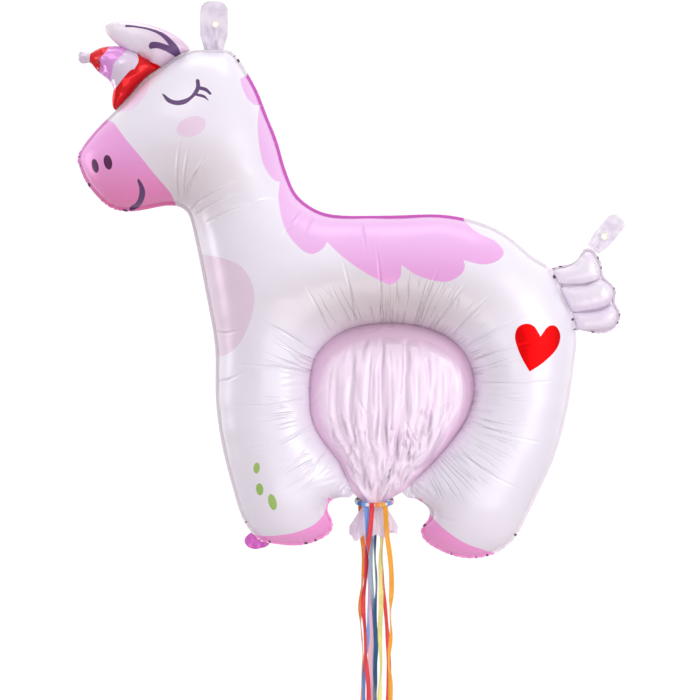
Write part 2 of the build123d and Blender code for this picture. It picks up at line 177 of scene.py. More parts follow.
class Material:
    """A node material around one Principled shader."""

    def __init__(self, name, colour, roughness, metallic=0.0, coat=0.0, alpha=1.0, sheen=0.0):
        self.material = bpy.data.materials.new(name)
        self.material.use_nodes = True
        self.nodes, self.links = self.material.node_tree.nodes, self.material.node_tree.links
        self.shader = self.nodes["Principled BSDF"]
        inputs = self.shader.inputs
        inputs["Base Color"].default_value = colour
        inputs["Roughness"].default_value = roughness
        inputs["Metallic"].default_value = metallic
        inputs["Coat Weight"].default_value = coat
        inputs["Coat Roughness"].default_value = 0.12
        inputs["Alpha"].default_value = alpha
        inputs["Sheen Weight"].default_value = sheen
        self.colour = colour
        self.place = self.nodes.new("ShaderNodeTexCoord").outputs["Object"]

    def mapped(self, location=(0, 0, 0), scale=(1, 1, 1)):
        mapping = self.node("ShaderNodeMapping")
        mapping.inputs["Location"].default_value, mapping.inputs["Scale"].default_value = location, scale
        self.links.new(self.place, mapping.inputs["Vector"])
        return mapping.outputs["Vector"]

    def vector(self, operation, first):
        n = self.node("ShaderNodeVectorMath", operation=operation)
        self.links.new(first, n.inputs[0])
        return n.outputs["Value" if operation == "LENGTH" else "Vector"]

    def texture(self, place, scale, detail):
        n = self.node("ShaderNodeTexNoise")
        n.inputs["Scale"].default_value, n.inputs["Detail"].default_value = scale, detail
        self.links.new(place, n.inputs["Vector"])
        return n.outputs["Fac"]

    def node(self, kind, **values):
        n = self.nodes.new(kind)
        for key, value in values.items():
            setattr(n, key, value)
        return n

    def noise(self, scale, detail=3.0, stretch=(1, 1, 1)):
        return self.texture(self.mapped(scale=stretch), scale, detail)

    def ramp(self, value, low, high, to_low=0.0, to_high=1.0):
        n = self.node("ShaderNodeMapRange", interpolation_type="SMOOTHSTEP")
        for key, v in zip(("From Min", "From Max", "To Min", "To Max"), (low, high, to_low, to_high)):
            n.inputs[key].default_value = v
        self.links.new(value, n.inputs["Value"])
        return n.outputs["Result"]

    def axis(self, name, place=None):
        n = self.node("ShaderNodeSeparateXYZ")
        self.links.new(place or self.place, n.inputs[0])
        return n.outputs[name]

    def tint(self, mask, colour):
        """Mixes another colour into the base colour where the mask is 1."""
        mix = self.node("ShaderNodeMix", data_type="RGBA")
        socket = self.shader.inputs["Base Color"]
        if socket.is_linked:
            self.links.new(socket.links[0].from_socket, mix.inputs["A"])
        else:
            mix.inputs["A"].default_value = self.colour
        mix.inputs["B"].default_value = colour
        self.links.new(mask, mix.inputs["Factor"])
        self.links.new(mix.outputs["Result"], socket)
        return self

    def blot(self, centre, radii, inner, colour, strength):
        """A soft oval of another colour."""
        from_centre = self.mapped([-c / r for c, r in zip(centre, radii)], [1 / r for r in radii])
        return self.tint(self.ramp(self.vector("LENGTH", from_centre), inner, 1.0, strength, 0.0), colour)

    def bump(self, height, strength, distance):
        """Relief too fine to model, added to the relief that is there already."""
        n = self.node("ShaderNodeBump")
        n.inputs["Strength"].default_value, n.inputs["Distance"].default_value = strength, distance
        self.links.new(height, n.inputs["Height"])
        socket = self.shader.inputs["Normal"]
        if socket.is_linked:
            self.links.new(socket.links[0].from_socket, n.inputs["Normal"])
        self.links.new(n.outputs["Normal"], socket)
        return self

    def math(self, operation, first, second=None):
        n = self.node("ShaderNodeMath", operation=operation)
        for socket, value in zip(n.inputs, (first, second)):
            if isinstance(value, (int, float)):
                socket.default_value = value
            elif value is not None:
                self.links.new(value, socket)
        return n.outputs[0]

    def thin_lines(self, value, width):
        """1, but falling to 0 along the thin lines where a noise is at its middle value."""
        return self.ramp(self.math("ABSOLUTE", self.math("SUBTRACT", value, 0.5)), 0.0, width)

    def fan(self, centre, count, near, far, strength):
        """Fine creases that run out from a round place: how deep they are fades from near to far."""
        from_centre = self.mapped((-centre[0], 0, -centre[1]), (1, 0, 1))
        length, aim = self.vector("LENGTH", from_centre), self.vector("NORMALIZE", from_centre)
        turned = self.node("ShaderNodeCombineXYZ")
        for socket, value, times in zip("XYZ", (self.axis("X", aim), self.axis("Z", aim), length), (count, count, 7.0)):
            self.links.new(self.math("MULTIPLY", value, times), turned.inputs[socket])
        lines = self.thin_lines(self.texture(turned.outputs[0], 1.0, 1.0), 0.045)
        fade = self.ramp(length, near, far, 1.0, 0.0)
        some = self.ramp(self.noise(13.0, 1.0), 0.42, 0.58)
        depth = self.math("MULTIPLY", self.math("MULTIPLY", fade, some), self.math("SUBTRACT", lines, 1.0))
        return self.bump(depth, strength, 0.0025)

    def rough(self, value, low, high):
        self.links.new(self.ramp(value, 0.3, 0.7, low, high), self.shader.inputs["Roughness"])
        return self


FOIL_WHITE = rgb(0.945, 0.93, 0.97)
PRINT_PINK = rgb(0.935, 0.74, 0.935)
DEEP_PINK_PRINT_AND_SHADE = rgb(0.90, 0.50, 0.80)
STROKE_PURPLE = rgb(0.32, 0.20, 0.38)


def foil(name, colour, metallic=0.15, roughness=0.34):
    """Satin printed foil: a little metallic, with faint crumples too small to model."""
    m = Material(name, colour, roughness, metallic, coat=0.18)
    m.rough(m.noise(9.0, 2.0), roughness - 0.05, roughness + 0.07)
    return m.bump(m.noise(55.0, 2.0), 0.06, 0.002)


def make_materials():
    made = {}
    white = foil("foil_white", FOIL_WHITE)
    # painted shade: a grey-beige oval where the tube's underside above the pouch is in shade
    white.blot((0.28, -0.02, -0.46), (0.27, 0.25, 0.10), 0.1, rgb(0.82, 0.78, 0.785), 0.9)
    # painted shade: a grey-beige oval under the head, on the throat
    white.blot((-0.03, -0.02, -0.26), (0.14, 0.25, 0.10), 0.1, rgb(0.87, 0.83, 0.84), 0.75)
    made["white"] = white
    made["chest"] = foil("foil_chest_pink", rgb(0.915, 0.84, 0.905))
    for key in ("white", "chest"):
        made[key].fan(HOLE_MIDDLE, count=15.0, near=0.150, far=0.235, strength=0.65)
    mane = foil("foil_mane_pink", PRINT_PINK)
    # darker pink towards the lower edges of the mane's lobes: partly the print's own gradient, partly painted shade
    mane.tint(mane.ramp(mane.axis("Z"), -0.34, -0.43, 0.0, 0.4), DEEP_PINK_PRINT_AND_SHADE)
    made["mane"] = mane
    snout = foil("foil_snout_pink", rgb(0.96, 0.67, 0.91))
    snout.tint(snout.ramp(snout.axis("Z"), -0.20, -0.31, 0.0, 0.85), rgb(0.93, 0.50, 0.71))
    made["snout"] = snout
    made["hoof"] = foil("foil_hoof_pink", rgb(0.99, 0.64, 0.88))
    heart = foil("foil_heart_red", rgb(0.92, 0.0, 0.02), metallic=0.9)
    heart.tint(heart.noise(30.0), rgb(0.93, 0.02, 0.03))
    heart.shader.inputs["Coat Weight"].default_value = 0.0
    made["heart"] = heart
    green = foil("foil_spot_green", rgb(0.60, 0.76, 0.38), metallic=0.2)
    green.tint(green.noise(45.0), rgb(0.68, 0.82, 0.45))
    made["green"] = green
    purple = foil("foil_stroke_purple", STROKE_PURPLE, metallic=0.2)
    purple.tint(purple.noise(25.0), rgb(0.42, 0.28, 0.50))
    made["purple"] = purple
    made["horn_red"] = foil("foil_horn_red", rgb(0.90, 0.04, 0.08), metallic=0.55, roughness=0.2)
    made["horn_lilac"] = foil("foil_horn_lilac", rgb(0.90, 0.62, 0.90), metallic=0.4, roughness=0.22)
    made["horn_pale"] = foil("foil_horn_pale", rgb(0.91, 0.85, 0.93), metallic=0.4, roughness=0.22)
    made["crescent"] = foil("foil_crescent_pink", rgb(0.96, 0.87, 0.96))
    made["cheek"] = foil("foil_cheek_blush", rgb(0.94, 0.845, 0.925))
    made["nostril"] = foil("foil_nostril_plum", rgb(0.35, 0.11, 0.32), metallic=0.2)
    ear = foil("foil_ear_white", rgb(0.94, 0.91, 0.95))
    ear.tint(ear.ramp(ear.axis("X"), -0.145, -0.07, 0.0, 0.75), rgb(0.88, 0.76, 0.86))
    made["ear_white"] = ear
    tail = foil("foil_tail_white", rgb(0.93, 0.90, 0.945))
    tail.tint(tail.ramp(tail.noise(16.0, 2.0), 0.45, 0.75, 0.0, 0.5), rgb(0.89, 0.82, 0.93))
    made["tail_white"] = tail
    # flange colours: a little darker than the films beside them, partly the weld's own tint and partly painted shade of
    # the flat weld seen edge-on
    made["seam_white"] = foil("foil_seam_white", rgb(0.94, 0.91, 0.94), metallic=0.1)
    made["seam_mauve"] = foil("foil_seam_mauve", rgb(0.86, 0.80, 0.87), metallic=0.1)
    edge = Material("tab_hole_edge", rgb(0.97, 0.95, 0.86), 0.3)
    made["hole_edge"] = edge.bump(edge.noise(200.0), 0.1, 0.0005)
    made["seam_pink"] = foil("foil_seam_pink", rgb(0.86, 0.42, 0.80), metallic=0.3)
    # painted shade: dark dashes on the flange where its puckers fall into shade
    made["seam_painted_shade"] = foil("foil_seam_painted_shade", rgb(0.40, 0.26, 0.38), metallic=0.3)
    tab = Material("film_tab", rgb(0.97, 0.94, 0.985), 0.25, coat=0.3, alpha=0.88)
    tab.tint(tab.ramp(tab.noise(40.0), 0.4, 0.65, 0.0, 0.6), rgb(0.85, 0.81, 0.90))
    made["tab"] = tab.bump(tab.noise(120.0, 2.0), 0.15, 0.002)
    pouch = Material("film_pouch", rgb(1.0, 0.93, 1.0), 0.3, metallic=0.05, coat=0.3)
    pouch.rough(pouch.noise(14.0, 2.0), 0.26, 0.40)
    band = pouch.node("ShaderNodeAttribute", attribute_name="film_band").outputs["Fac"]
    # painted shade: the smooth band round the pouch's top is tinted deeper pink where it lies in the body's shade
    pouch.tint(band, rgb(0.93, 0.80, 0.90))
    # painted shade: a darker oval over the pouch's top, under the body's tube
    pouch.blot((0.29, -0.02, -0.50), (0.17, 0.2, 0.075), 0.1, rgb(0.87, 0.76, 0.85), 0.7)
    pouch.bump(pouch.noise(60.0, 2.0, (1, 1, 0.12)), 0.12, 0.002)
    ruffled = pouch.math("SUBTRACT", 1.0, band)
    low_down = pouch.ramp(pouch.axis("Z"), -0.60, -0.70)
    for scale, stretch, width, where, strength in (
        (38.0, (1, 1, 0.07), 0.22, ruffled, 0.8),
        (30.0, (1, 1, 0.40), 0.16, pouch.math("MULTIPLY", ruffled, low_down), 0.8),
    ):
        lines = pouch.thin_lines(pouch.noise(scale, 0.6, stretch), width)
        pouch.bump(pouch.math("MULTIPLY", where, lines), strength, 0.006)
    made["pouch"] = pouch
    skirt = Material("film_skirt", rgb(0.98, 0.93, 0.985), 0.25, coat=0.3, alpha=0.8)
    skirt.tint(skirt.ramp(skirt.noise(60.0, 2.0, (1, 1, 0.3)), 0.45, 0.7, 0.0, 0.7), rgb(0.93, 0.80, 0.92))
    made["skirt"] = skirt.bump(skirt.noise(90.0, 2.0, (1, 1, 0.3)), 0.3, 0.003)
    ring = Material("ring_white_plastic", rgb(0.95, 0.95, 0.97), 0.22, coat=0.2)
    made["ring"] = ring.bump(ring.noise(300.0), 0.05, 0.0005)
    return {key: m.material for key, m in made.items()}


MATERIALS = make_materials()
RIBBON_COLOURS = {
    "ribbon_gold_left": (0.97, 0.56, 0.14), "ribbon_red_left": (0.90, 0.13, 0.20),
    "ribbon_pale_pink": (0.96, 0.76, 0.84), "ribbon_blue_left": (0.45, 0.65, 0.95),
    "ribbon_pale_blue": (0.76, 0.89, 0.91), "ribbon_dark_blue": (0.16, 0.42, 0.68),
    "ribbon_yellow": (0.97, 0.96, 0.58), "ribbon_red_right": (0.91, 0.20, 0.18),
    "ribbon_orange_right": (0.99, 0.67, 0.10),
}


def ribbon_material(name):
    base = RIBBON_COLOURS[name]
    m = Material(name + "_satin", rgb(*base), 0.34, sheen=0.3, coat=0.15)
    m.tint(m.ramp(m.noise(40.0, 2.0, (1, 1, 0.3)), 0.4, 0.7, 0.0, 0.5), rgb(*[c * 0.78 for c in base]))
    fine = m.noise(900.0, 1.0, (1.0, 1.0, 0.08))
    return m.bump(fine, 0.3, 0.0004).material


# ---- cords ----
def spline_points(name, route, count=160):
    """Points along the smooth curve whose control points are the route, evenly spaced."""
    data = bpy.data.curves.new(name + "_route", "CURVE")
    data.dimensions = "3D"
    data.resolution_u = 24
    spline = data.splines.new("NURBS")
    spline.points.add(len(route) - 1)
    for point, place in zip(spline.points, route):
        point.co = (*place, 1.0)
    spline.order_u = 3
    spline.use_endpoint_u = True
    guide = bpy.data.objects.new(name + "_route", data)
    bpy.context.scene.collection.objects.link(guide)
    bpy.context.view_layer.update()
    line = bpy.data.meshes.new_from_object(guide.evaluated_get(bpy.context.evaluated_depsgraph_get()))
    points = np.array([v.co for v in line.vertices])
    bpy.data.objects.remove(guide)
    bpy.data.meshes.remove(line)
    far = travelled(points)
    at = np.linspace(0, far[-1], count)
    return np.column_stack([np.interp(at, far, points[:, k]) for k in range(3)]), far[-1]


def make_ribbon(name, route, seed):
    """A flat ribbon that follows its route, twisting a little, with a slightly cupped section."""
    rng = np.random.default_rng(seed)
    line, length = spline_points(name, route)
    t = np.linspace(0, 1, len(line))
    twist = np.interp(t, *np.array(TWISTS[name]).T)
    kernel = np.hanning(19) / np.hanning(19).sum()
    twist = np.convolve(np.pad(twist, 9, mode="edge"), kernel, "valid") + 0.12 * np.sin(t * 40 + rng.uniform(0, 6))
    along = np.gradient(line, axis=0)
    along /= np.linalg.norm(along, axis=1)[:, None]
    flat = np.column_stack([np.cos(twist), np.sin(twist), 0 * twist])
    flat -= along * np.sum(flat * along, axis=1)[:, None]
    flat /= np.linalg.norm(flat, axis=1)[:, None]
    face = np.cross(along, flat)
    across = np.linspace(-0.88, 0.88, 7)
    cup = 0.0006 * (across**2 - 0.4)
    places = line[:, None] + flat[:, None] * (across * RIBBON_WIDTH / 2)[None, :, None]
    places = places + face[:, None] * cup[None, :, None]
    obj = new_object(name + "_strip", places.reshape(-1, 3), grid_faces(*places.shape[:2]), ribbon_material(name))
    solidify(obj, RIBBON_THICK)
    place_in_frame(obj, "pull_ring", name)


for number, (ribbon_name, ribbon_route) in enumerate(RIBBONS.items()):
    make_ribbon(ribbon_name, mm(ribbon_route), 40 + number)


# ---- inflated film ----
def even(points, step, closed=True):
    """Points evenly spaced along a path."""
    path = np.vstack([points, points[:1]]) if closed else np.asarray(points, float)
    far = travelled(path)
    at = np.linspace(0, far[-1], max(4, round(far[-1] / step)) + 1)
    return np.column_stack([np.interp(at, far, path[:, k]) for k in range(2)])[: -1 if closed else None]


def smooth(points, step=0.0025, closed=True):
    """An even path along the smooth curve through the points."""
    p = np.asarray(points, float)
    padded = np.vstack([p[-1], p, p[:2]]) if closed else np.vstack([2 * p[0] - p[1], p, 2 * p[-1] - p[-2]])
    t = np.linspace(0, 1, 12, endpoint=False)[:, None]
    runs = []
    for a, b, c, d in zip(padded, padded[1:], padded[2:], padded[3:]):
        runs.append(b + 0.5 * t * (c - a + t * (2 * a - 5 * b + 4 * c - d + t * (3 * (b - c) + d - a))))
    line = np.vstack(runs if closed else [*runs, p[-1:]])
    return even(line, step, closed)


def sense(loop):
    """1 for a loop that runs anticlockwise, -1 for a clockwise one."""
    return math.copysign(1, np.sum(loop[:, 0] * np.roll(loop[:, 1], -1) - loop[:, 1] * np.roll(loop[:, 0], -1)))


def softened(values, n):
    """Values round a closed loop, each averaged with its n neighbours on either side."""
    kernel = np.hanning(2 * n + 3)[1:-1]
    kernel /= kernel.sum()
    return np.convolve(np.concatenate([values[-n:], values, values[:n]]), kernel, "valid")


def inward(loop):
    """The unit normal at each point of a closed loop, towards its inside."""
    ahead, behind = np.roll(loop, -1, 0) - loop, loop - np.roll(loop, 1, 0)
    along = ahead / np.linalg.norm(ahead, axis=1)[:, None] + behind / np.linalg.norm(behind, axis=1)[:, None]
    along /= np.linalg.norm(along, axis=1)[:, None] + 1e-12
    return np.column_stack([-along[:, 1], along[:, 0]]) * sense(loop)


def within(loop, points):
    """Whether each point is inside the loop."""
    x, z = points[:, 0], points[:, 1]
    hit = np.zeros(len(points), bool)
    for (x0, z0), (x1, z1) in zip(loop, np.roll(loop, -1, 0)):
        if z0 != z1:
            hit ^= ((z < z0) != (z < z1)) & (x < x0 + (z - z0) * (x1 - x0) / (z1 - z0))
    return hit


def nearest(points, loop):
    """For each point, how far the loop's nearest point is, and which one it is."""
    far, which = np.empty(len(points)), np.empty(len(points), int)
    for start in range(0, len(points), 2000):
        part = points[start : start + 2000]
        square = ((part[:, None] - loop[None]) ** 2).sum(2)
        which[start : start + 2000] = square.argmin(1)
        far[start : start + 2000] = np.sqrt(square.min(1))
    return far, which


def curvature(loop, reach):
    """How sharply a closed loop turns at each point, averaged over a reach; convex stretches are positive."""
    step = np.linalg.norm(np.roll(loop, -1, 0) - loop, axis=1).mean()
    soft = np.column_stack([softened(loop[:, k], max(1, round(reach / step))) for k in range(2)])
    d1 = (np.roll(soft, -1, 0) - np.roll(soft, 1, 0)) / (2 * step)
    d2 = (np.roll(soft, -1, 0) - 2 * soft + np.roll(soft, 1, 0)) / step**2
    turn = (d1[:, 0] * d2[:, 1] - d1[:, 1] * d2[:, 0]) / (np.linalg.norm(d1, axis=1) ** 3 + 1e-9)
    return turn * sense(loop)


def flat_loops(node):
    """The outlines of a seam plate's flat face, longest first, as arrays of (x, z)."""
    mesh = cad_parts[node].data
    ids, points = [], {}
    for v in mesh.vertices:
        ids.append(points.setdefault(tuple(round(c, 6) for c in v.co), len(points)))
    places = np.array(list(points))
    top = places[:, 1].max()
    sides = set()
    for face in mesh.polygons:
        corners = [ids[v] for v in face.vertices]
        if places[corners, 1].min() > top - 1e-5 and len(set(corners)) > 2:
            for a, b in zip(corners, corners[1:] + corners[:1]):
                if (b, a) in sides:
                    sides.discard((b, a))
                else:
                    sides.add((a, b))
    follow = {a: b for a, b in sides}
    loops = []
    while follow:
        start, at = follow.popitem()
        loop = [start]
        while at != start and at in follow:
            loop.append(at)
            at = follow.pop(at)
        loops.append(places[loop][:, [0, 2]])
    return sorted(loops, key=lambda loop: -np.linalg.norm(np.diff(loop, axis=0), axis=1).sum())


def triangulate(outline, keep_out, lines, step, rows):
    """A fine flat mesh of the outline's inside that follows the given lines: places and triangles."""
    fixed, edges = [], []
    for line, closed in [(outline, True), *((k, True) for k in keep_out), *lines]:
        first = len(fixed)
        fixed += [tuple(p) for p in line]
        last = len(fixed)
        edges += [(i, i + 1) for i in range(first, last - 1)] + ([(last - 1, first)] if closed else [])
    solid = np.array(fixed)
    low, high = outline.min(0), outline.max(0)
    heights = np.arange(low[1], high[1], step * math.sqrt(3) / 2)
    grid = np.array(
        [(x, z) for i, z in enumerate(heights) for x in np.arange(low[0] + (i % 2) * step / 2, high[0], step)]
    )
    grid = grid[within(outline, grid)]
    loose = [grid[nearest(grid, outline)[0] > (rows[-1] + 0.6 * step if rows else 0.6 * step)]]
    normal = inward(outline)
    for row in rows:
        ring = outline + normal * row
        ring = ring[within(outline, ring)]
        ring = ring[nearest(ring, outline)[0] > 0.93 * row]
        loose.append(ring)
    loose = np.vstack(loose)
    others = solid[len(outline) :]
    if len(others):
        loose = loose[nearest(loose, others)[0] > 0.5 * step]
    every = np.vstack([solid, loose])
    out = delaunay_2d_cdt([Vector(p) for p in every], edges, [], 0, 1e-7, False)
    places = np.array([tuple(p) for p in out[0]])
    triangles = np.array([f for f in out[2] if len(f) == 3])
    middle = places[triangles].mean(1)
    good = within(outline, middle)
    for other in keep_out:
        good &= ~within(other, middle)
    triangles = triangles[good]
    a, b, c = (places[triangles[:, k]] for k in range(3))
    turn = (b[:, 0] - a[:, 0]) * (c[:, 1] - a[:, 1]) - (b[:, 1] - a[:, 1]) * (c[:, 0] - a[:, 0])
    triangles = triangles[np.abs(turn) > 1e-12]
    turn = turn[np.abs(turn) > 1e-12]
    triangles = np.where((turn > 0)[:, None], triangles, triangles[:, ::-1])
    used, flat = np.unique(triangles, return_inverse=True)
    return places[used], flat.reshape(triangles.shape)


def rim_of(triangles):
    """The vertices on the mesh's border."""
    sides = {(i, j) for t in triangles.tolist() for i, j in zip(t, t[1:] + t[:1])}
    return sorted({k for i, j in sides if (j, i) not in sides for k in (i, j)})


def membrane(places, triangles, held):
    """The height f at each place of a membrane under an even pressure, held down at some places.

    The second derivatives of f add to -1. It is solved on the triangles by conjugate gradients.
    """
    rows, cols, weights = [], [], []
    load = np.zeros(len(places))
    for k in range(3):
        i, j, o = triangles[:, k], triangles[:, (k + 1) % 3], triangles[:, (k + 2) % 3]
        u, v = places[i] - places[o], places[j] - places[o]
        area2 = np.abs(u[:, 0] * v[:, 1] - u[:, 1] * v[:, 0])
        w = np.clip(0.5 * (u * v).sum(1) / np.maximum(area2, 1e-12), -20, 20)
        rows += [i, j]
        cols += [j, i]
        weights += [w, w]
        load += np.bincount(i, area2 / 6, len(places))
    rows, cols, weights = (np.concatenate(x) for x in (rows, cols, weights))
    diagonal = np.maximum(np.bincount(rows, weights, len(places)), 1e-3)
    free = np.ones(len(places))
    free[held] = 0

    def pull(f):
        return free * (diagonal * f - np.bincount(rows, weights * f[cols], len(places)))

    f = np.zeros(len(places))
    left = free * load
    ahead = left / diagonal
    energy = left @ ahead
    goal = 1e-10 * energy
    for _ in range(1500):
        if energy < goal:
            break
        pulled = pull(ahead)
        far = energy / (ahead @ pulled)
        f += far * ahead
        left -= far * pulled
        ready = left / diagonal
        energy, last = left @ ready, energy
        ahead = ready + (energy / last) * ahead
    return np.maximum(f, 0)


def smooth_normals(places, triangles):
    a, b, c = (places[triangles[:, k]] for k in range(3))
    n = np.cross(b - a, c - a)
    total = np.column_stack(
        [sum(np.bincount(triangles[:, k], n[:, axis], len(places)) for k in range(3)) for axis in range(3)]
    )
    return total / (np.linalg.norm(total, axis=1)[:, None] + 1e-15)


def value_noise(points, rng, scale, octaves):
    """Smooth noise of about -1 to 1, made of seeded waves in turned directions."""
    total, size = np.zeros(len(points)), 0
    for octave in range(octaves):
        share = 0.6**octave
        for _ in range(4):
            angle, phase = rng.uniform(0, 2 * math.pi), rng.uniform(0, 2 * math.pi)
            wave = 2 * math.pi / (scale * 0.5**octave * rng.uniform(0.8, 1.25))
            total += share * np.sin(wave * (points[:, 0] * math.cos(angle) + points[:, 1] * math.sin(angle)) + phase)
        size += share * 4 * 0.5
    return total / size


def crease(flat, start, direction, long, depth, width, bend=0.0):
    """How much one crease lowers each place: a valley from its start, fading along its length."""
    away = flat - start
    along = away @ direction
    lateral = away[:, 0] * direction[1] - away[:, 1] * direction[0] - bend * along**2
    t = np.clip(along / long, 0, 1)
    body = np.clip(along / (0.12 * long) + 0.1, 0, 1) * (1 - t) ** 1.3 * (t < 1)
    soft = np.sqrt(lateral**2 + (0.3 * width) ** 2)
    shoulder = 0.35 * np.exp(-(((soft - 1.9 * width) / (0.9 * width)) ** 2))
    return depth * body * (np.exp(-soft / width) - shoulder)


def rim_creases(flat, loop, plan, seed):
    """Creases that run in from the rim. plan gives, for each place of the loop, the gap between creases,
    their length and their depth. Returns the lowering, and where on the loop the creases start."""
    rng = np.random.default_rng(seed)
    normal = inward(loop)
    step = np.linalg.norm(np.roll(loop, -1, 0) - loop, axis=1).mean()
    lowered, starts, at = np.zeros(len(flat)), [], 0.0
    while at < len(loop):
        i = int(at)
        gap, long, depth = (values[i] for values in plan)
        if depth > 0:
            size = rng.uniform(0.35, 1.0) ** 1.5
            lean = rng.normal(0, 0.13)
            d = normal[i] @ np.array([[math.cos(lean), math.sin(lean)], [-math.sin(lean), math.cos(lean)]])
            reach = long * size
            close = np.abs(flat - loop[i]).max(1) < 1.1 * reach + 0.004
            lowered[close] += crease(
                flat[close], loop[i], d, reach, depth * (0.4 + 0.6 * size), 0.0012 + 0.0015 * size,
                rng.normal(0, 0.6),
            )
            starts.append(i)
        at += max(1.0, gap * rng.uniform(0.55, 1.45) / step)
    return lowered, np.array(starts)


def crease_path(line):
    return smooth(mm(line), 0.002, closed=False) if len(line) > 2 else even(mm(line), 0.002, closed=False)


def line_creases(flat, lines, depth, width):
    """Creases along given lines, deepest near their start."""
    lowered = np.zeros(len(flat))
    for line in lines:
        path = crease_path(line)
        low, high = path.min(0) - 0.02, path.max(0) + 0.02
        close = ((flat > low) & (flat < high)).all(1)
        far, which = nearest(flat[close], path)
        t = which / (len(path) - 1)
        body = np.clip(t / 0.1 + 0.2, 0, 1) * np.clip((1 - t) / 0.7, 0, 1)
        soft = np.sqrt(far**2 + (0.3 * width) ** 2)
        shoulder = 0.4 * np.exp(-(((soft - 2 * width) / width) ** 2))
        lowered[close] += depth * body * (np.exp(-soft / width) - shoulder)
    return lowered


def as_seen(prints, outline, roundness):
    """Prints drawn as the camera sees them, moved to where they lie on the bulging film."""
    flat, triangles = triangulate(outline, [], [], 0.008, (0.002,))
    heights = roundness * np.sqrt(2 * membrane(flat, triangles, rim_of(triangles)))
    placed = []
    for key, loop in prints:
        far, which = nearest(loop, flat)
        high = softened(heights[which] * (far < 0.012), 5)
        placed.append((key, loop + (np.array(VIEW_CENTRE) - loop) * (high / CAMERA_AWAY)[:, None]))
    return placed


def paint(middle, prints):
    """The number of the last print that covers each face's middle; 0 is the plain foil."""
    which = np.zeros(len(middle), int)
    for number, (_, outline) in enumerate(prints, 1):
        which[within(outline, middle)] = number
    return which


def two_sided(name, flat, triangles, heights, painted, keys, lowered):
    """The front and back films of a chamber, from their heights above the seam's plane."""
    pair = []
    for side, end in ((-1, "front"), (1, "back")):
        places = np.column_stack([flat[:, 0], side * (FILM_LIFT + heights), flat[:, 1]])
        faces = triangles if side < 0 else triangles[:, ::-1]
        normal = smooth_normals(places, faces)
        if normal[:, 1].mean() * side < 0:
            faces, normal = faces[:, ::-1], -normal
        places = places - normal * (lowered * np.clip(heights / 0.006, 0, 1))[:, None]
        places[:, 1] = side * np.maximum(side * places[:, 1], LOWEST_FILM)
        obj = new_object(f"{name}_{end}_foil", places, faces.tolist())
        for key in keys:
            obj.data.materials.append(MATERIALS[key])
        obj.data.polygons.foreach_set("material_index", painted)
        pair.append(obj)
    return pair


def flange(name, outer, inner, starts, sharp, prints, keys):
    """The flat welded band, scalloped and waved where the outline is convex, with dashes of painted shade on its
    puckers.
    """
    normal = inward(outer)
    count = len(outer)
    phase = np.interp(np.arange(count), starts, np.arange(len(starts))) if len(starts) > 1 else np.zeros(count)
    wave = np.sin(math.pi * phase) * sharp
    pinch = (1 - np.abs(np.sin(math.pi * phase))) * sharp
    rows = []
    for t in (0.0, 0.2, 0.5, 0.8, 1.0, 1.25):
        flat = outer + (inner - outer) * t + normal * (0.0014 * pinch * (1 - t))[:, None]
        y = 0.0016 * wave * np.clip(1 - t, 0, 1)
        rows.append(np.column_stack([flat[:, 0], y, flat[:, 1]]))
    places, faces = np.vstack(rows), grid_faces(len(rows), count, closed=True)
    obj = new_object(f"{name}_flange", places, faces)
    for key in [*keys, "seam_painted_shade"]:
        obj.data.materials.append(MATERIALS[key])
    which = paint(places[np.array(faces)].mean(1)[:, [0, 2]], prints)
    row, column = np.divmod(np.arange(len(faces)), count)
    # painted shade: dark dashes on the outer rows at some of the wave crests
    which[(row < 3) & (wave[column] > 0.4) & (np.sin(0.9 * phase[column]) > 0.1)] = len(keys)
    obj.data.polygons.foreach_set("material_index", which)
    return solidify(obj, FLANGE_THICK)


def oval(centre, radii, lean=0.0):
    t = np.linspace(0, 2 * math.pi, 40, endpoint=False)
    x, z = radii[0] * np.cos(t), radii[1] * np.sin(t)
    c, s = math.cos(lean), math.sin(lean)
    return mm(np.column_stack([centre[0] + c * x - s * z, centre[1] + s * x + c * z]))


def joined(*curves):
    """A closed outline made of smooth curves that meet at corners."""
    return np.vstack([smooth(mm(c), 0.0015, closed=False)[:-1] for c in curves])


def area(*points):
    return smooth(mm(points), 0.0025)


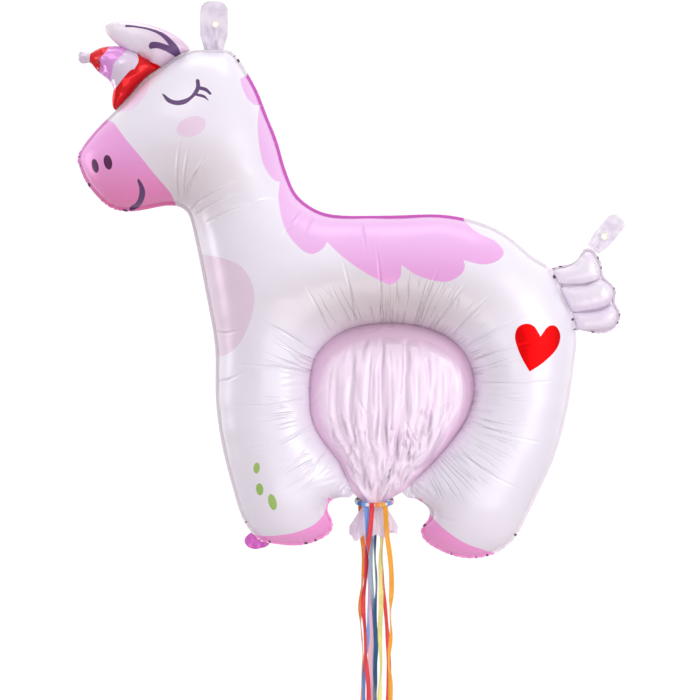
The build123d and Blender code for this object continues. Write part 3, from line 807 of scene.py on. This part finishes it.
# prints on the body's foil, in millimetres in the seam's plane; a later one covers an earlier one
BODY_PRINTS = [
    ("chest", area((-60, -365), (-24, -379), (12, -386), (45, -402), (63, -438), (60, -480), (40, -526), (8, -548),
        (-30, -540), (-70, -470))),
    ("snout", joined([(-179, -150), (-179, -158), (-167, -164), (-157, -177), (-146, -192), (-130, -211),
        (-115, -229), (-100, -248), (-83, -268), (-72, -283), (-62, -310)], [(-62, -310), (-150, -345),
        (-260, -300), (-270, -190), (-179, -150)])),
    ("mane", joined([(41, -91), (43, -100), (48, -113), (55, -125), (67, -134), (74, -133)], [(74, -133),
        (70, -154), (71, -190), (77, -224), (87, -246), (98, -258), (106, -260)], [(106, -260), (104, -285),
        (108, -316), (120, -347), (141, -371), (160, -379), (177, -370), (184, -359)], [(184, -359), (208, -382),
        (238, -404), (270, -422), (289, -429), (304, -418), (307, -397)], [(307, -397), (335, -415), (377, -425),
        (402, -415), (411, -401), (409, -389)], [(409, -389), (440, -396), (464, -391), (475, -376), (460, -358),
        (434, -345), (410, -325)], [(410, -325), (400, -290), (160, -270), (110, -120), (72, -76), (41, -91)])),
    ("hoof", joined([(60, -842), (77, -844), (108, -842), (140, -836), (165, -824), (180, -805), (186, -780)],
        [(186, -780), (215, -800), (200, -880), (60, -880), (60, -842)])),
    ("hoof", joined([(338, -780), (354, -808), (379, -834), (412, -856), (461, -873), (480, -880)], [(480, -880),
        (430, -905), (340, -890), (315, -830), (338, -780)])),
    ("crescent", joined([(-105, -88), (-110, -106), (-115, -120), (-126, -133), (-137, -142), (-152, -146)],
        [(-152, -146), (-160, -135), (-135, -95), (-105, -88)])),
    ("cheek", oval((-40, -169), (25, 16), 0.35)),
    ("nostril", oval((-198, -234), (5.6, 11.6), 0.2)),
    ("nostril", oval((-177, -228), (6.8, 12.2), 0.2)),
    ("purple", joined([(-127, -254), (-121, -263), (-117, -273), (-117, -284), (-121, -295), (-126, -301),
        (-134, -306), (-142, -308)], [(-142, -308), (-141, -302), (-132, -294), (-127, -284), (-126, -270),
        (-129, -258), (-127, -254)])),
    ("purple", joined([(-88, -115), (-81, -127), (-72, -132), (-61, -134), (-48, -131), (-38, -123), (-29, -114),
        (-25, -105), (-26, -93)], [(-26, -93), (-29, -91), (-32, -93), (-32, -104), (-37, -114), (-44, -121),
        (-55, -125), (-66, -126), (-75, -123), (-83, -117), (-88, -115)])),
    ("purple", joined([(-30, -102), (-16, -105), (-9, -111), (-6, -115)], [(-6, -115), (-9, -117), (-17, -111),
        (-30, -108)])),
    ("purple", joined([(-33, -114), (-19, -117), (-13, -123), (-11, -127)], [(-11, -127), (-19, -122),
        (-34, -118)])),
    ("heart", joined([(536, -515), (526, -499), (513, -494), (499, -500), (494, -516), (499, -536), (507, -554),
        (518, -573)], [(518, -573), (537, -561), (555, -545), (566, -528), (568, -511), (560, -498), (548, -499),
        (536, -515)])),
    ("green", oval((68, -732), (5.2, 9), -0.1)),
    ("green", oval((73, -767), (6, 10), 0.15)),
    ("green", oval((94, -788), (6.5, 13.5), 0.25)),
]

# long creases in the body's film, each from its deep end
LONG_CREASES = [
    [(-58, -290), (-57, -252), (-53, -215), (-48, -195)], [(-47, -294), (-37, -267), (-16, -241), (6, -221)],
    [(-40, -312), (-25, -299), (3, -284), (36, -267), (72, -253)], [(-48, -290), (-44, -250), (-36, -205)],
    [(-44, -292), (-28, -255), (-8, -222)], [(-10, -331), (27, -314), (82, -296), (123, -285)],
    [(-30, -318), (5, -300), (60, -278)], [(268, -488), (272, -455), (268, -400), (260, -343)],
    [(332, -491), (350, -440), (370, -392)], [(357, -503), (386, -460), (417, -419)],
    [(387, -513), (420, -476), (460, -436)], [(410, -532), (450, -508), (505, -479)],
    [(418, -554), (476, -536), (538, -520)], [(428, -590), (490, -591), (555, -587)],
    [(230, -492), (222, -440), (208, -385)], [(190, -510), (165, -460), (140, -420)],
    [(163, -540), (118, -510), (70, -485)], [(154, -575), (100, -565), (35, -560)],
    [(151, -615), (100, -625), (30, -628)], [(158, -660), (110, -685), (50, -700)],
    [(412, -650), (460, -670), (540, -690)], [(392, -690), (435, -730), (500, -765)],
    [(185, -700), (150, -740), (110, -765)], [(143, -311), (125, -340), (103, -367)],
    [(163, -320), (153, -348), (144, -372)], [(242, -333), (245, -360), (248, -384)],
    [(-15, -500), (15, -510), (50, -505)], [(-2, -590), (25, -585), (60, -570)],
]

seam_loops = flat_loops("body_seam")
BODY_OUTLINE, seam_rim = even(seam_loops[0], 0.002), even(seam_loops[1], 0.0025)
HOLE_REACH = 0.19
BODY_ROUNDNESS = 0.92


def near_hole(loop):
    """1 on the stretch of a loop that runs round the pouch, falling to 0 beside it."""
    away = np.hypot(*(loop - HOLE_MIDDLE).T)
    return np.clip((HOLE_REACH - away) / 0.02, 0, 1)


body_rim = seam_rim - inward(seam_rim) * (0.0018 + 0.0046 * near_hole(seam_rim))[:, None]


def shallow(heights, floor):
    """Heights that level off at a floor, so that two films meet in a shallow valley."""
    return np.sqrt(heights**2 + floor**2)


def body_plan(loop):
    """The gap, length and depth of the creases at each place of the body's rim."""
    turn = curvature(loop, 0.022)
    hole = near_hole(loop)
    convex = np.clip((turn - 3) / 14, 0, 1)
    concave = np.clip((-turn - 8) / 20, 0, 1) * (1 - hole)
    sides = hole * np.clip((-0.53 - loop[:, 1]) / 0.03, 0, 1)
    gap = 0.0105 - 0.002 * hole - 0.0042 * sides - 0.003 * np.maximum(convex, concave)
    long = 0.014 + 0.050 * hole + 0.012 * sides + 0.010 * convex + 0.045 * concave
    depth = 0.0003 + 0.0008 * hole + 0.0005 * sides + 0.0014 * convex + 0.0013 * concave
    return gap, long, depth


def make_body():
    """The big chamber's two films, with its prints and creases, and the flange round them."""
    prints = as_seen(BODY_PRINTS, body_rim, BODY_ROUNDNESS)
    keys = ["white", *[key for key, _ in prints]]
    lines = [(outline, True) for _, outline in prints]
    for line in LONG_CREASES:
        path = crease_path(line)
        along = np.gradient(path, axis=0)
        aside = np.column_stack([-along[:, 1], along[:, 0]]) / np.linalg.norm(along, axis=1)[:, None]
        for shift in (0, -0.0012, 0.0012):
            moved = path + aside * shift
            lines.append((moved[within(body_rim, moved)][1:-1], False))
    flat, triangles = triangulate(body_rim, [], lines, BODY_STEP, BODY_ROWS)
    heights = BODY_ROUNDNESS * np.sqrt(2 * membrane(flat, triangles, rim_of(triangles)))
    far, which = nearest(flat, body_rim)
    heights = shallow(heights, VALLEY * near_hole(body_rim)[which] * np.exp(-far / VALLEY_REACH))
    lowered, starts = rim_creases(flat, body_rim, body_plan(body_rim), 7)
    lowered += line_creases(flat, LONG_CREASES, 0.0028, 0.0012)
    lowered += 0.0006 * value_noise(flat, np.random.default_rng(11), 0.09, 2)
    pair = two_sided("body", flat, triangles, heights, paint(flat[triangles].mean(1), prints), keys, lowered)
    for obj, node in zip(pair, ("body_front_film", "body_back_film")):
        place_in_frame(obj, "balloon", node)
    fine_rim = even(body_rim, 0.0005)
    which = nearest(BODY_OUTLINE, fine_rim)[1]
    sharp = np.clip((curvature(BODY_OUTLINE, 0.02) - 3) / 12, 0.06, 1)
    starts = np.sort(nearest(body_rim[starts], BODY_OUTLINE)[1])
    # each print's flange colour; the darker seam colours are partly painted shade
    on_seam = {"white": "seam_white", "chest": "seam_white", "crescent": "seam_white", "mane": "seam_pink"}
    seam_keys = [on_seam.get(key, key) for key in keys]
    band = flange("body", BODY_OUTLINE, fine_rim[which], starts, sharp, prints, seam_keys)
    place_in_frame(band, "balloon", "body_seam")


HORN_PRINTS = [
    ("horn_lilac", joined([(-175, -30), (-175, -42), (-188, -62), (-192, -81), (-192, -100)], [(-192, -100),
        (-178, -110), (-170, -89), (-163, -66), (-147, -48), (-147, -20)], [(-147, -20), (-175, -30)])),
    ("horn_red", joined([(-206, -30), (-204, -45), (-206, -58), (-206, -90)], [(-206, -90), (-192, -100)],
        [(-192, -100), (-192, -81), (-188, -62), (-175, -42), (-175, -20)], [(-175, -20), (-206, -30)])),
    ("horn_red", joined([(-90, -58), (-108, -60), (-128, -49)], [(-128, -49), (-125, -64), (-131, -77)],
        [(-131, -77), (-139, -81), (-157, -101), (-167, -112), (-172, -131)], [(-172, -131), (-175, -155),
        (-130, -150), (-85, -100), (-90, -58)])),
]
EAR_PRINTS = [
    ("horn_red", joined([(-127, -53), (-110, -62), (-88, -71)], [(-88, -71), (-80, -100), (-110, -110),
        (-122, -76)], [(-122, -76), (-127, -53)])),
    ("purple", joined([(-146, -3), (-130, -5), (-111, -8), (-94, -13), (-81, -19), (-70, -29), (-61, -39),
        (-57, -49)], [(-57, -49), (-65, -54), (-81, -47), (-94, -43), (-106, -44)], [(-106, -44), (-108, -39),
        (-104, -33), (-92, -33), (-75, -38)], [(-75, -38), (-80, -31), (-89, -22), (-100, -16), (-115, -11),
        (-133, -8), (-147, -7), (-146, -3)])),
]
TAIL_LOBES = {
    "upper": area((555, -408), (578, -401), (592, -394), (605, -380), (612, -375), (621, -378), (629, -391),
        (634, -408), (630, -421), (609, -428), (588, -429), (565, -426)),
    "middle": area((565, -438), (590, -432), (612, -430), (632, -421), (648, -429), (656, -443), (652, -458),
        (637, -468), (612, -473), (585, -472)),
    "lower": area((588, -478), (614, -475), (636, -471), (653, -464), (661, -475), (659, -491), (647, -501),
        (622, -504), (596, -502)),
}


def small_plan(loop):
    """The gap, length and depth of the creases at each place of a small chamber's rim."""
    turn = curvature(loop, 0.012)
    convex = np.clip((turn - 4) / 30, 0, 1)
    return 0.0065 - 0.001 * convex, 0.013 + 0.008 * convex, 0.0008 + 0.0009 * convex


def make_chamber(name, outlines, keep_out, prints, base, roundness, seed, seam_base):
    """A small inflated chamber or a row of lobes, cut off where it meets its neighbours."""
    lines = [(p, True) for _, p in prints]
    parts, offset = [], 0
    for number, outline in enumerate(outlines):
        flat, triangles = triangulate(outline, keep_out, lines, CHAMBER_STEP, SMALL_ROWS)
        heights = roundness * np.sqrt(2 * membrane(flat, triangles, rim_of(triangles)))
        lowered, _ = rim_creases(flat, outline, small_plan(outline), seed + number)
        lowered += 0.0004 * value_noise(flat, np.random.default_rng(seed + number), 0.03, 2)
        parts.append((flat, triangles + offset, heights, paint(flat[triangles].mean(1), prints), lowered))
        offset += len(flat)
    flat, triangles, heights, painted, lowered = (np.concatenate(part) for part in zip(*parts))
    pair = two_sided(name, flat, triangles, heights, painted, [base, *[key for key, _ in prints]], lowered)
    for obj, side in zip(pair, ("front", "back")):
        place_in_frame(obj, "balloon", f"{name}_{side}_film")
    outline = even(flat_loops(f"{name}_seam")[0], 0.0015)
    rng = np.random.default_rng(seed)
    starts = np.cumsum(rng.uniform(3, 6.5, 400)).astype(int)
    starts = starts[starts < len(outline)]
    sharp = np.clip((curvature(outline, 0.012) + 2) / 12, 0.1, 0.8)
    sharp[nearest(outline, BODY_OUTLINE)[0] < 0.002] = 0
    middle = outline + inward(outline) * 0.0034
    band = flange(name, outline, middle, starts, sharp, [], [seam_base])
    flat, triangles = triangulate(middle[within(outline, middle)][::2], [], [], 0.006, ())
    places = np.column_stack([flat[:, 0], 0 * flat[:, 0], flat[:, 1]])
    web = solidify(new_object(f"{name}_web", places, triangles.tolist(), MATERIALS[seam_base]), FLANGE_THICK)
    place_in_frame(band, "balloon", f"{name}_seam")
    place_in_frame(web, "balloon")


def film_outline(node, by, flap=None):
    """A seam's outline moved to where the film starts, but not along the body. It grows out at a flap."""
    outline = even(flat_loops(node)[0], 0.002)
    beside = nearest(outline, BODY_OUTLINE)[0] < 0.0025
    step = np.where(beside, 0.0008, by)
    if flap is not None:
        step = step - 0.0055 * np.exp(-((np.linalg.norm(outline - flap, axis=1) / 0.013) ** 2)) * ~beside
    return outline + inward(outline) * softened(step, 3)[:, None]


make_body()
horn_film = film_outline("horn_seam", -0.0022, mm([-124, -57]))
make_chamber("horn", [horn_film], [], HORN_PRINTS, "horn_pale", 0.95, 20, "seam_white")
make_chamber("ear", [film_outline("ear_seam", -0.0008)], [], EAR_PRINTS, "ear_white", 0.85, 24, "seam_white")
make_chamber("tail", list(TAIL_LOBES.values()), [BODY_OUTLINE], [], "tail_white", 0.85, 28, "seam_mauve")


# ---- the pouch ----
NECK_HALF, NECK_CUT = 0.0195, -0.7975  # half the neck's width, and the level where the skirt takes over


def make_pouch():
    """The film bag: a smooth band round its top, then pleats that gather into the ring."""
    low, high = sorted(nearest(mm([(309, -772), (228, -775)]), BODY_OUTLINE)[1])
    arc = min(BODY_OUTLINE[low:high], np.vstack([BODY_OUTLINE[high:], BODY_OUTLINE[:low]]), key=len)
    if arc[0, 0] < arc[-1, 0]:
        arc = arc[::-1]
    arc = arc[arc[:, 1] > -0.766]
    arc = arc + (HOLE_MIDDLE - arc) / np.linalg.norm(HOLE_MIDDLE - arc, axis=1)[:, None] * -0.003
    left, right = RING_X - NECK_HALF, RING_X + NECK_HALF
    neck_right = [
        tuple(arc[0]), (right + 0.021, -0.774), (right + 0.011, -0.780), (right + 0.001, -0.787),
        (right, -0.796), (right, -0.812), (right, -0.842),
    ]
    neck_left = [
        (left, -0.842), (left, -0.812), (left, -0.796), (left - 0.001, -0.787), (left - 0.006, -0.781),
        (left - 0.012, -0.776), tuple(arc[-1]),
    ]
    neck = [smooth(side, 0.002, closed=False) for side in (neck_right, neck_left)]
    outline = even(np.vstack([arc[::-1], *neck]), 0.002)
    cut = even(np.array([(left - 0.03, NECK_CUT), (right + 0.03, NECK_CUT)]), 0.002, closed=False)
    flat, triangles = triangulate(outline, [], [(cut, False)], POUCH_STEP, SMALL_ROWS)
    heights = 0.65 * np.sqrt(2 * membrane(flat, triangles, rim_of(triangles)))
    far = nearest(flat, outline)[0]
    heights = shallow(heights, VALLEY * np.exp(-far / VALLEY_REACH))
    triangles = triangles[flat[triangles].mean(1)[:, 1] > NECK_CUT]
    x, z = flat.T
    rng = np.random.default_rng(5)
    levels = np.linspace(outline[:, 1].min() + 0.004, outline[:, 1].max() - 0.004, 75)
    spans = []
    for level in levels:
        row = outline[np.abs(outline[:, 1] - level) < 0.004]
        spans.append((row[:, 0].min(), row[:, 0].max()) if len(row) else spans[-1])
    spans = np.array(spans)
    lowest, highest = np.interp(z, levels, spans[:, 0]), np.interp(z, levels, spans[:, 1])
    u = (2 * x - lowest - highest) / np.maximum(highest - lowest, 0.02)
    narrow = np.clip((highest - lowest) / 0.25, 0.15, 1)
    on_side = np.clip((z + 0.76) / 0.10, 0, 1)
    band = on_side * (0.020 + 0.018 * np.clip((z + 0.60) / 0.06, 0, 1))
    ruffled = np.clip((far - band) / 0.010, 0, 1)

    # long pleats, which drift a little from straight
    lowered = np.zeros(len(flat))
    drift = value_noise(np.column_stack([x * 0.5, z]), rng, 0.20, 1) * 0.02
    for count, size, narrowest, widest in ((15, 0.0068, 0.026, 0.050), (30, 0.0032, 0.012, 0.022)):
        for place in np.linspace(-1, 1, count) + rng.uniform(-0.06, 0.06, count):
            bent = np.clip((z + 0.62) / 0.2, -1, 1)
            shift = place + drift * rng.uniform(0.3, 1.6) + rng.uniform(-0.10, 0.10) * bent
            width = rng.uniform(narrowest, widest)
            top, bottom = rng.uniform(-0.60, -0.52), rng.uniform(-0.79, -0.62)
            length = np.clip((top - z) / 0.02, 0, 1) * np.clip((z - bottom) / 0.03, 0, 1)
            gap = np.sqrt((u - shift) ** 2 + (0.2 * width) ** 2) / width
            lowered += size * rng.uniform(0.3, 1.0) * length * (np.exp(-gap) - 0.4 * np.exp(-((gap - 2) ** 2)))


    def fold(start, long, depth, width, bend):
        return crease(flat, np.array(start), np.array([math.sin(aim), math.cos(aim)]), *(
            rng.uniform(*limits) for limits in (long, depth, width, bend)
        ))

    for _ in range(26):  # folds that fan out from the ring
        aim = rng.uniform(-0.95, 0.95)
        start = (RING_X + 0.024 * math.sin(aim), RING_Z - 0.004)
        lowered += fold(start, (0.05, 0.16), (0.004, 0.011), (0.0016, 0.0042), (-2.5, 2.5))
    for _ in range(34):  # crumples above them
        aim = rng.uniform(-0.7, 0.7)
        start = (RING_X + rng.uniform(-0.075, 0.095), rng.uniform(-0.765, -0.62))
        lowered += fold(start, (0.02, 0.05), (0.003, 0.0075), (0.0014, 0.003), (-6, 6))
    lowered *= ruffled * (0.35 + 0.65 * narrow)
    # the smooth band, which the pouch material also uses to paint shade
    smoothness = (1 - np.clip((far - 0.6 * band) / 0.014, 0, 1)).astype(np.float32)
    front, back = two_sided("pouch", flat, triangles, heights, np.zeros(len(triangles), int), ["pouch"], lowered)
    for obj in (front, back):
        obj.data.attributes.new("film_band", "FLOAT", "POINT").data.foreach_set("value", smoothness)
    place_in_frame(front, "balloon", "candy_pouch")
    place_in_frame(back, "balloon")


make_pouch()


# ---- skirt, ring and turns of ribbon ----
def make_skirt():
    """The pouch's film below the ring: pleated, flared and cut unevenly."""
    rng = np.random.default_rng(9)
    around, down = 260, 46
    angle = np.linspace(0, 2 * math.pi, around, endpoint=False)
    t = np.linspace(0, 1, down)[:, None]
    levels, wide, deep = (0, 0.35, 0.70, 1.0), (0.0195, 0.0290, 0.0375, 0.0365), (0.0145, 0.0155, 0.0170, 0.0165)
    pleats = np.zeros(around)
    for count in (7, 11, 17, 29):
        pleats += np.sin(count * angle + rng.uniform(0, 6.3)) / count**0.5
    pleats /= np.abs(pleats).max()
    swing = np.sin(5 * angle + 1.0)[None] * 0.05 * t
    radius_x, radius_y = np.interp(t, levels, wide), np.interp(t, levels, deep)
    size = 1.0 + pleats[None] * (0.10 + 0.18 * t) * (1 - 0.2 * t) - 0.02 * (1 - t)
    hem = 0.046 + 0.006 * np.sin(2 * angle + 0.6) + 0.004 * np.sin(5 * angle + 2.0) + 0.0035 * pleats
    hem -= 0.010 * np.clip(np.cos(angle - 0.15), 0, 1) ** 6
    x = RING_X + radius_x * size * np.cos(angle + swing)
    y = radius_y * size * np.sin(angle + swing)
    z = NECK_CUT + 0.001 - t * hem[None] + 0 * size
    places = np.stack([x, np.clip(y, -0.0178, 0.0178), z], axis=2).reshape(-1, 3)
    obj = new_object("skirt_film", places, grid_faces(down, around, closed=True), MATERIALS["skirt"])
    place_in_frame(obj, "balloon", "pouch_skirt")
    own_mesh(obj)


def ring_point(angle, radius, turn):
    """A place on a tube round the ring's centre line, in the tilted frame."""
    flat = RING_SPINE + radius * math.cos(turn)
    x, y, z = flat * math.cos(angle), flat * math.sin(angle), radius * math.sin(turn)
    c, s = math.cos(RING_TILT), math.sin(RING_TILT)
    return (RING_X + x, y * c - z * s, RING_Z + y * s + z * c)


def make_ring():
    steps, sides = 96, 20
    turn = 2 * math.pi
    places = [ring_point(turn * i / steps, RING_TUBE, turn * j / sides) for i in range(steps) for j in range(sides)]
    faces = []
    for i in range(steps):
        here, ahead = i * sides, (i + 1) % steps * sides
        faces += [(here + j, ahead + j, ahead + (j + 1) % sides, here + (j + 1) % sides) for j in range(sides)]
    place_in_frame(new_object("ring", places, faces, MATERIALS["ring"]), "pull_ring", "release_ring")


def make_turns(name, angle, ribbon, seed):
    """Turns of a flat ribbon wound round the ring's tube."""
    rng = np.random.default_rng(seed)
    steps, across, turns = 67, 5, 2.6
    half = RIBBON_WIDTH / RING_SPINE / 2
    places = []
    for i in range(steps + 1):
        t = i / steps
        turn = 2 * math.pi * turns * t + 1.0
        lean = angle + (t - 0.5) * (half * 0.7) + rng.normal(0, 0.002)
        for j in range(across):
            v = j / (across - 1) - 0.5
            places.append(ring_point(lean + v * half * 1.3, 0.0033 + 0.0006 * t + 0.00025 * abs(v), turn))
    skin = bpy.data.objects[ribbon + "_strip"].data.materials[0]
    obj = new_object(name, places, grid_faces(steps + 1, across), skin)
    solidify(obj, TURN_THICK, 1.0)
    place_in_frame(obj, "pull_ring")
    return obj


make_ring()
TURNS_ON_FRONT = [  # angle round the ring from +X, and the ribbon they belong to
    ("ribbon_pale_blue", 205), ("ribbon_dark_blue", 221), ("ribbon_blue_left", 236), ("ribbon_red_left", 262),
    ("ribbon_gold_left", 279), ("ribbon_orange_right", 296), ("ribbon_blue_left", 318), ("ribbon_pale_pink", 335),
]
front_turns = [
    make_turns(f"front_turns_{number}", math.radians(degrees), ribbon, 60 + number)
    for number, (ribbon, degrees) in enumerate(TURNS_ON_FRONT)
]
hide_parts("ribbon_loops")
for number, (ribbon, route) in enumerate(RIBBONS.items()):
    x, y, _ = mm(route[0])
    if y > 0:  # a ribbon that hangs from the back of the ring
        make_turns(f"rear_turns_{number}", math.atan2(y, x - RING_X), ribbon, 80 + number)
make_skirt()


# ---- hanging tabs and the inflation neck ----
def make_tab(name, node, body, size, corner, hole_at, root, lean, seed):
    """A film tab with a punched hole: crinkled, and gathered at its root where the seam holds it."""
    long, wide = size
    c, s = math.cos(lean), math.sin(lean)

    def stood_up(along, aside, out):
        return np.column_stack([root[0] + c * along - s * aside, out, root[1] + s * along + c * aside])

    corner_turns = np.linspace(0, math.pi / 2, 8)
    end = [(long - corner + corner * math.sin(a), wide / 2 - corner + corner * math.cos(a)) for a in corner_turns]
    half = [(0.0, wide * 0.36), (long * 0.10, wide * 0.40), (long * 0.3, wide / 2), *end]
    outline = even(np.array(half + [(x, -y) for x, y in half[::-1]]), 0.0015)
    around = np.linspace(0, 2 * math.pi, 28, endpoint=False)
    grommet = np.column_stack([np.cos(around), np.sin(around)])
    hole = hole_at + HOLE_RADIUS * grommet
    flat, triangles = triangulate(outline, [hole], [], 0.0016, ())
    rng = np.random.default_rng(seed)
    lowered = np.zeros(len(flat))
    for _ in range(16):
        start = np.array([rng.uniform(-0.002, 0.004), rng.uniform(-0.10, 0.10) * wide])
        aim = rng.uniform(-0.42, 0.42)
        lowered += crease(flat, start, np.array([math.cos(aim), math.sin(aim)]), rng.uniform(0.4, 0.95) * long,
                          rng.uniform(0.0010, 0.0030), rng.uniform(0.0015, 0.0035))
    lowered += 0.0012 * value_noise(flat, rng, 0.035, 2)
    lowered *= 1 - np.exp(-((np.hypot(*(flat - hole_at).T) - HOLE_RADIUS) / 0.003) ** 2)
    places = stood_up(*flat.T, np.clip(lowered, -0.005, 0.005))
    obj = solidify(new_object(name, places, triangles.tolist(), MATERIALS["tab"]), TAB_THICK)
    flat = np.vstack([hole_at + grommet * 0.0044, hole_at + grommet * 0.0062])
    places = stood_up(*flat.T, 0 * flat[:, 0])
    eye = new_object(name + "_hole_edge", places, grid_faces(2, len(around), closed=True), MATERIALS["hole_edge"])
    solidify(eye, HOLE_EDGE_THICK)
    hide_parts(node)
    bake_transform(obj)
    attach(eye, body)


make_tab("head_tab_film", "head_hang_tab", "head_tab", size=(0.080, 0.045), corner=0.016,
         hole_at=np.array([0.042, -0.0025]), root=(-0.0025, -0.042), lean=math.pi / 2, seed=31)
make_tab("tail_tab_film", "tail_hang_tab", "tail_tab", size=(0.068, 0.032), corner=0.012,
         hole_at=np.array([0.028, 0.0]), root=(0.6234, -0.371), lean=math.radians(49.4), seed=32)


def make_neck():
    outline = even(flat_loops("inflation_neck")[0], 0.0015)
    flat, triangles = triangulate(outline, [], [], 0.0018, ())
    crumples = 0.0018 * value_noise(flat, np.random.default_rng(3), 0.012, 2)
    places = np.column_stack([flat[:, 0], crumples, flat[:, 1]])
    obj = solidify(new_object("inflation_film", places, triangles.tolist(), MATERIALS["seam_pink"]), FLANGE_THICK)
    place_in_frame(obj, "balloon", "inflation_neck")


make_neck()
valve_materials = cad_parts["inflation_valve"].data.materials
valve_materials.clear()
valve_materials.append(MATERIALS["tab"])


# ---- backdrop and light ----
def emission(name, colour, strength):
    material = bpy.data.materials.new(name)
    material.use_nodes = True
    nodes, links = material.node_tree.nodes, material.node_tree.links
    nodes.clear()
    glow = nodes.new("ShaderNodeEmission")
    glow.inputs["Color"].default_value, glow.inputs["Strength"].default_value = colour, strength
    links.new(glow.outputs[0], nodes.new("ShaderNodeOutputMaterial").inputs[0])
    return material


HALF, BACK = 14, 6  # half the width of the floor and the backdrop, and how far back they meet
FLOOR_Z = -2.35  # well below the ribbons, because the pinata hangs
new_object(
    "backdrop", [(-HALF, BACK, -9), (HALF, BACK, -9), (HALF, BACK, 9), (-HALF, BACK, 9)], [(0, 1, 2, 3)],
    emission("backdrop_white", (1, 1, 1, 1), 1.05),
)
new_object(
    "floor", [(-HALF, -HALF, FLOOR_Z), (HALF, -HALF, FLOOR_Z), (HALF, BACK, FLOOR_Z), (-HALF, BACK, FLOOR_Z)],
    [(0, 1, 2, 3)], Material("floor_pale", rgb(0.80, 0.77, 0.78), 0.7).material,
)

world = bpy.data.worlds.new("studio")
bpy.context.scene.world = world
world.use_nodes = True
world_nodes, world_links = world.node_tree.nodes, world.node_tree.links
direction = world_nodes.new("ShaderNodeTexCoord")
split = world_nodes.new("ShaderNodeSeparateXYZ")
ramp = world_nodes.new("ShaderNodeValToRGB")
span = world_nodes.new("ShaderNodeMapRange")
world_links.new(direction.outputs["Generated"], split.inputs[0])
world_links.new(split.outputs["Z"], span.inputs["Value"])
span.inputs["From Min"].default_value, span.inputs["From Max"].default_value = -1, 1
ramp.color_ramp.elements[0].position, ramp.color_ramp.elements[0].color = 0.15, rgb(0.66, 0.61, 0.62)
ramp.color_ramp.elements[1].position, ramp.color_ramp.elements[1].color = 0.75, rgb(1.0, 0.99, 1.0)
world_links.new(span.outputs["Result"], ramp.inputs["Fac"])
world_links.new(ramp.outputs["Color"], world_nodes["Background"].inputs["Color"])
world_nodes["Background"].inputs["Strength"].default_value = 0.84


LIT_PLACE = (0.25, 0, -0.45)  # what the lights are turned to


def softbox(name, place, size, power, colour=(1, 1, 1)):
    data = bpy.data.lights.new(name, "AREA")
    data.shape, data.size, data.size_y = "RECTANGLE", *size
    data.energy, data.color = power, colour
    obj = bpy.data.objects.new(name, data)
    bpy.context.scene.collection.objects.link(obj)
    obj.location = place
    obj.rotation_euler = (Vector(LIT_PLACE) - Vector(place)).to_track_quat("-Z", "Y").to_euler()


softbox("key_top_front", (-0.9, -2.2, 1.9), (1.8, 1.3), 6, (1.0, 0.985, 0.97))
softbox("fill_right", (2.4, -1.8, -0.2), (1.4, 2.0), 22)
softbox("fill_low", (0.9, -2.6, -2.1), (3.4, 1.8), 22, (1.0, 0.99, 1.0))
softbox("top", (0.3, 0.2, 2.0), (2.2, 0.8), 10)
softbox("rim_left", (-2.2, 0.3, -0.2), (0.8, 1.6), 8)

bpy.context.scene.view_settings.view_transform = "Standard"
bpy.context.scene.view_settings.look = "None"
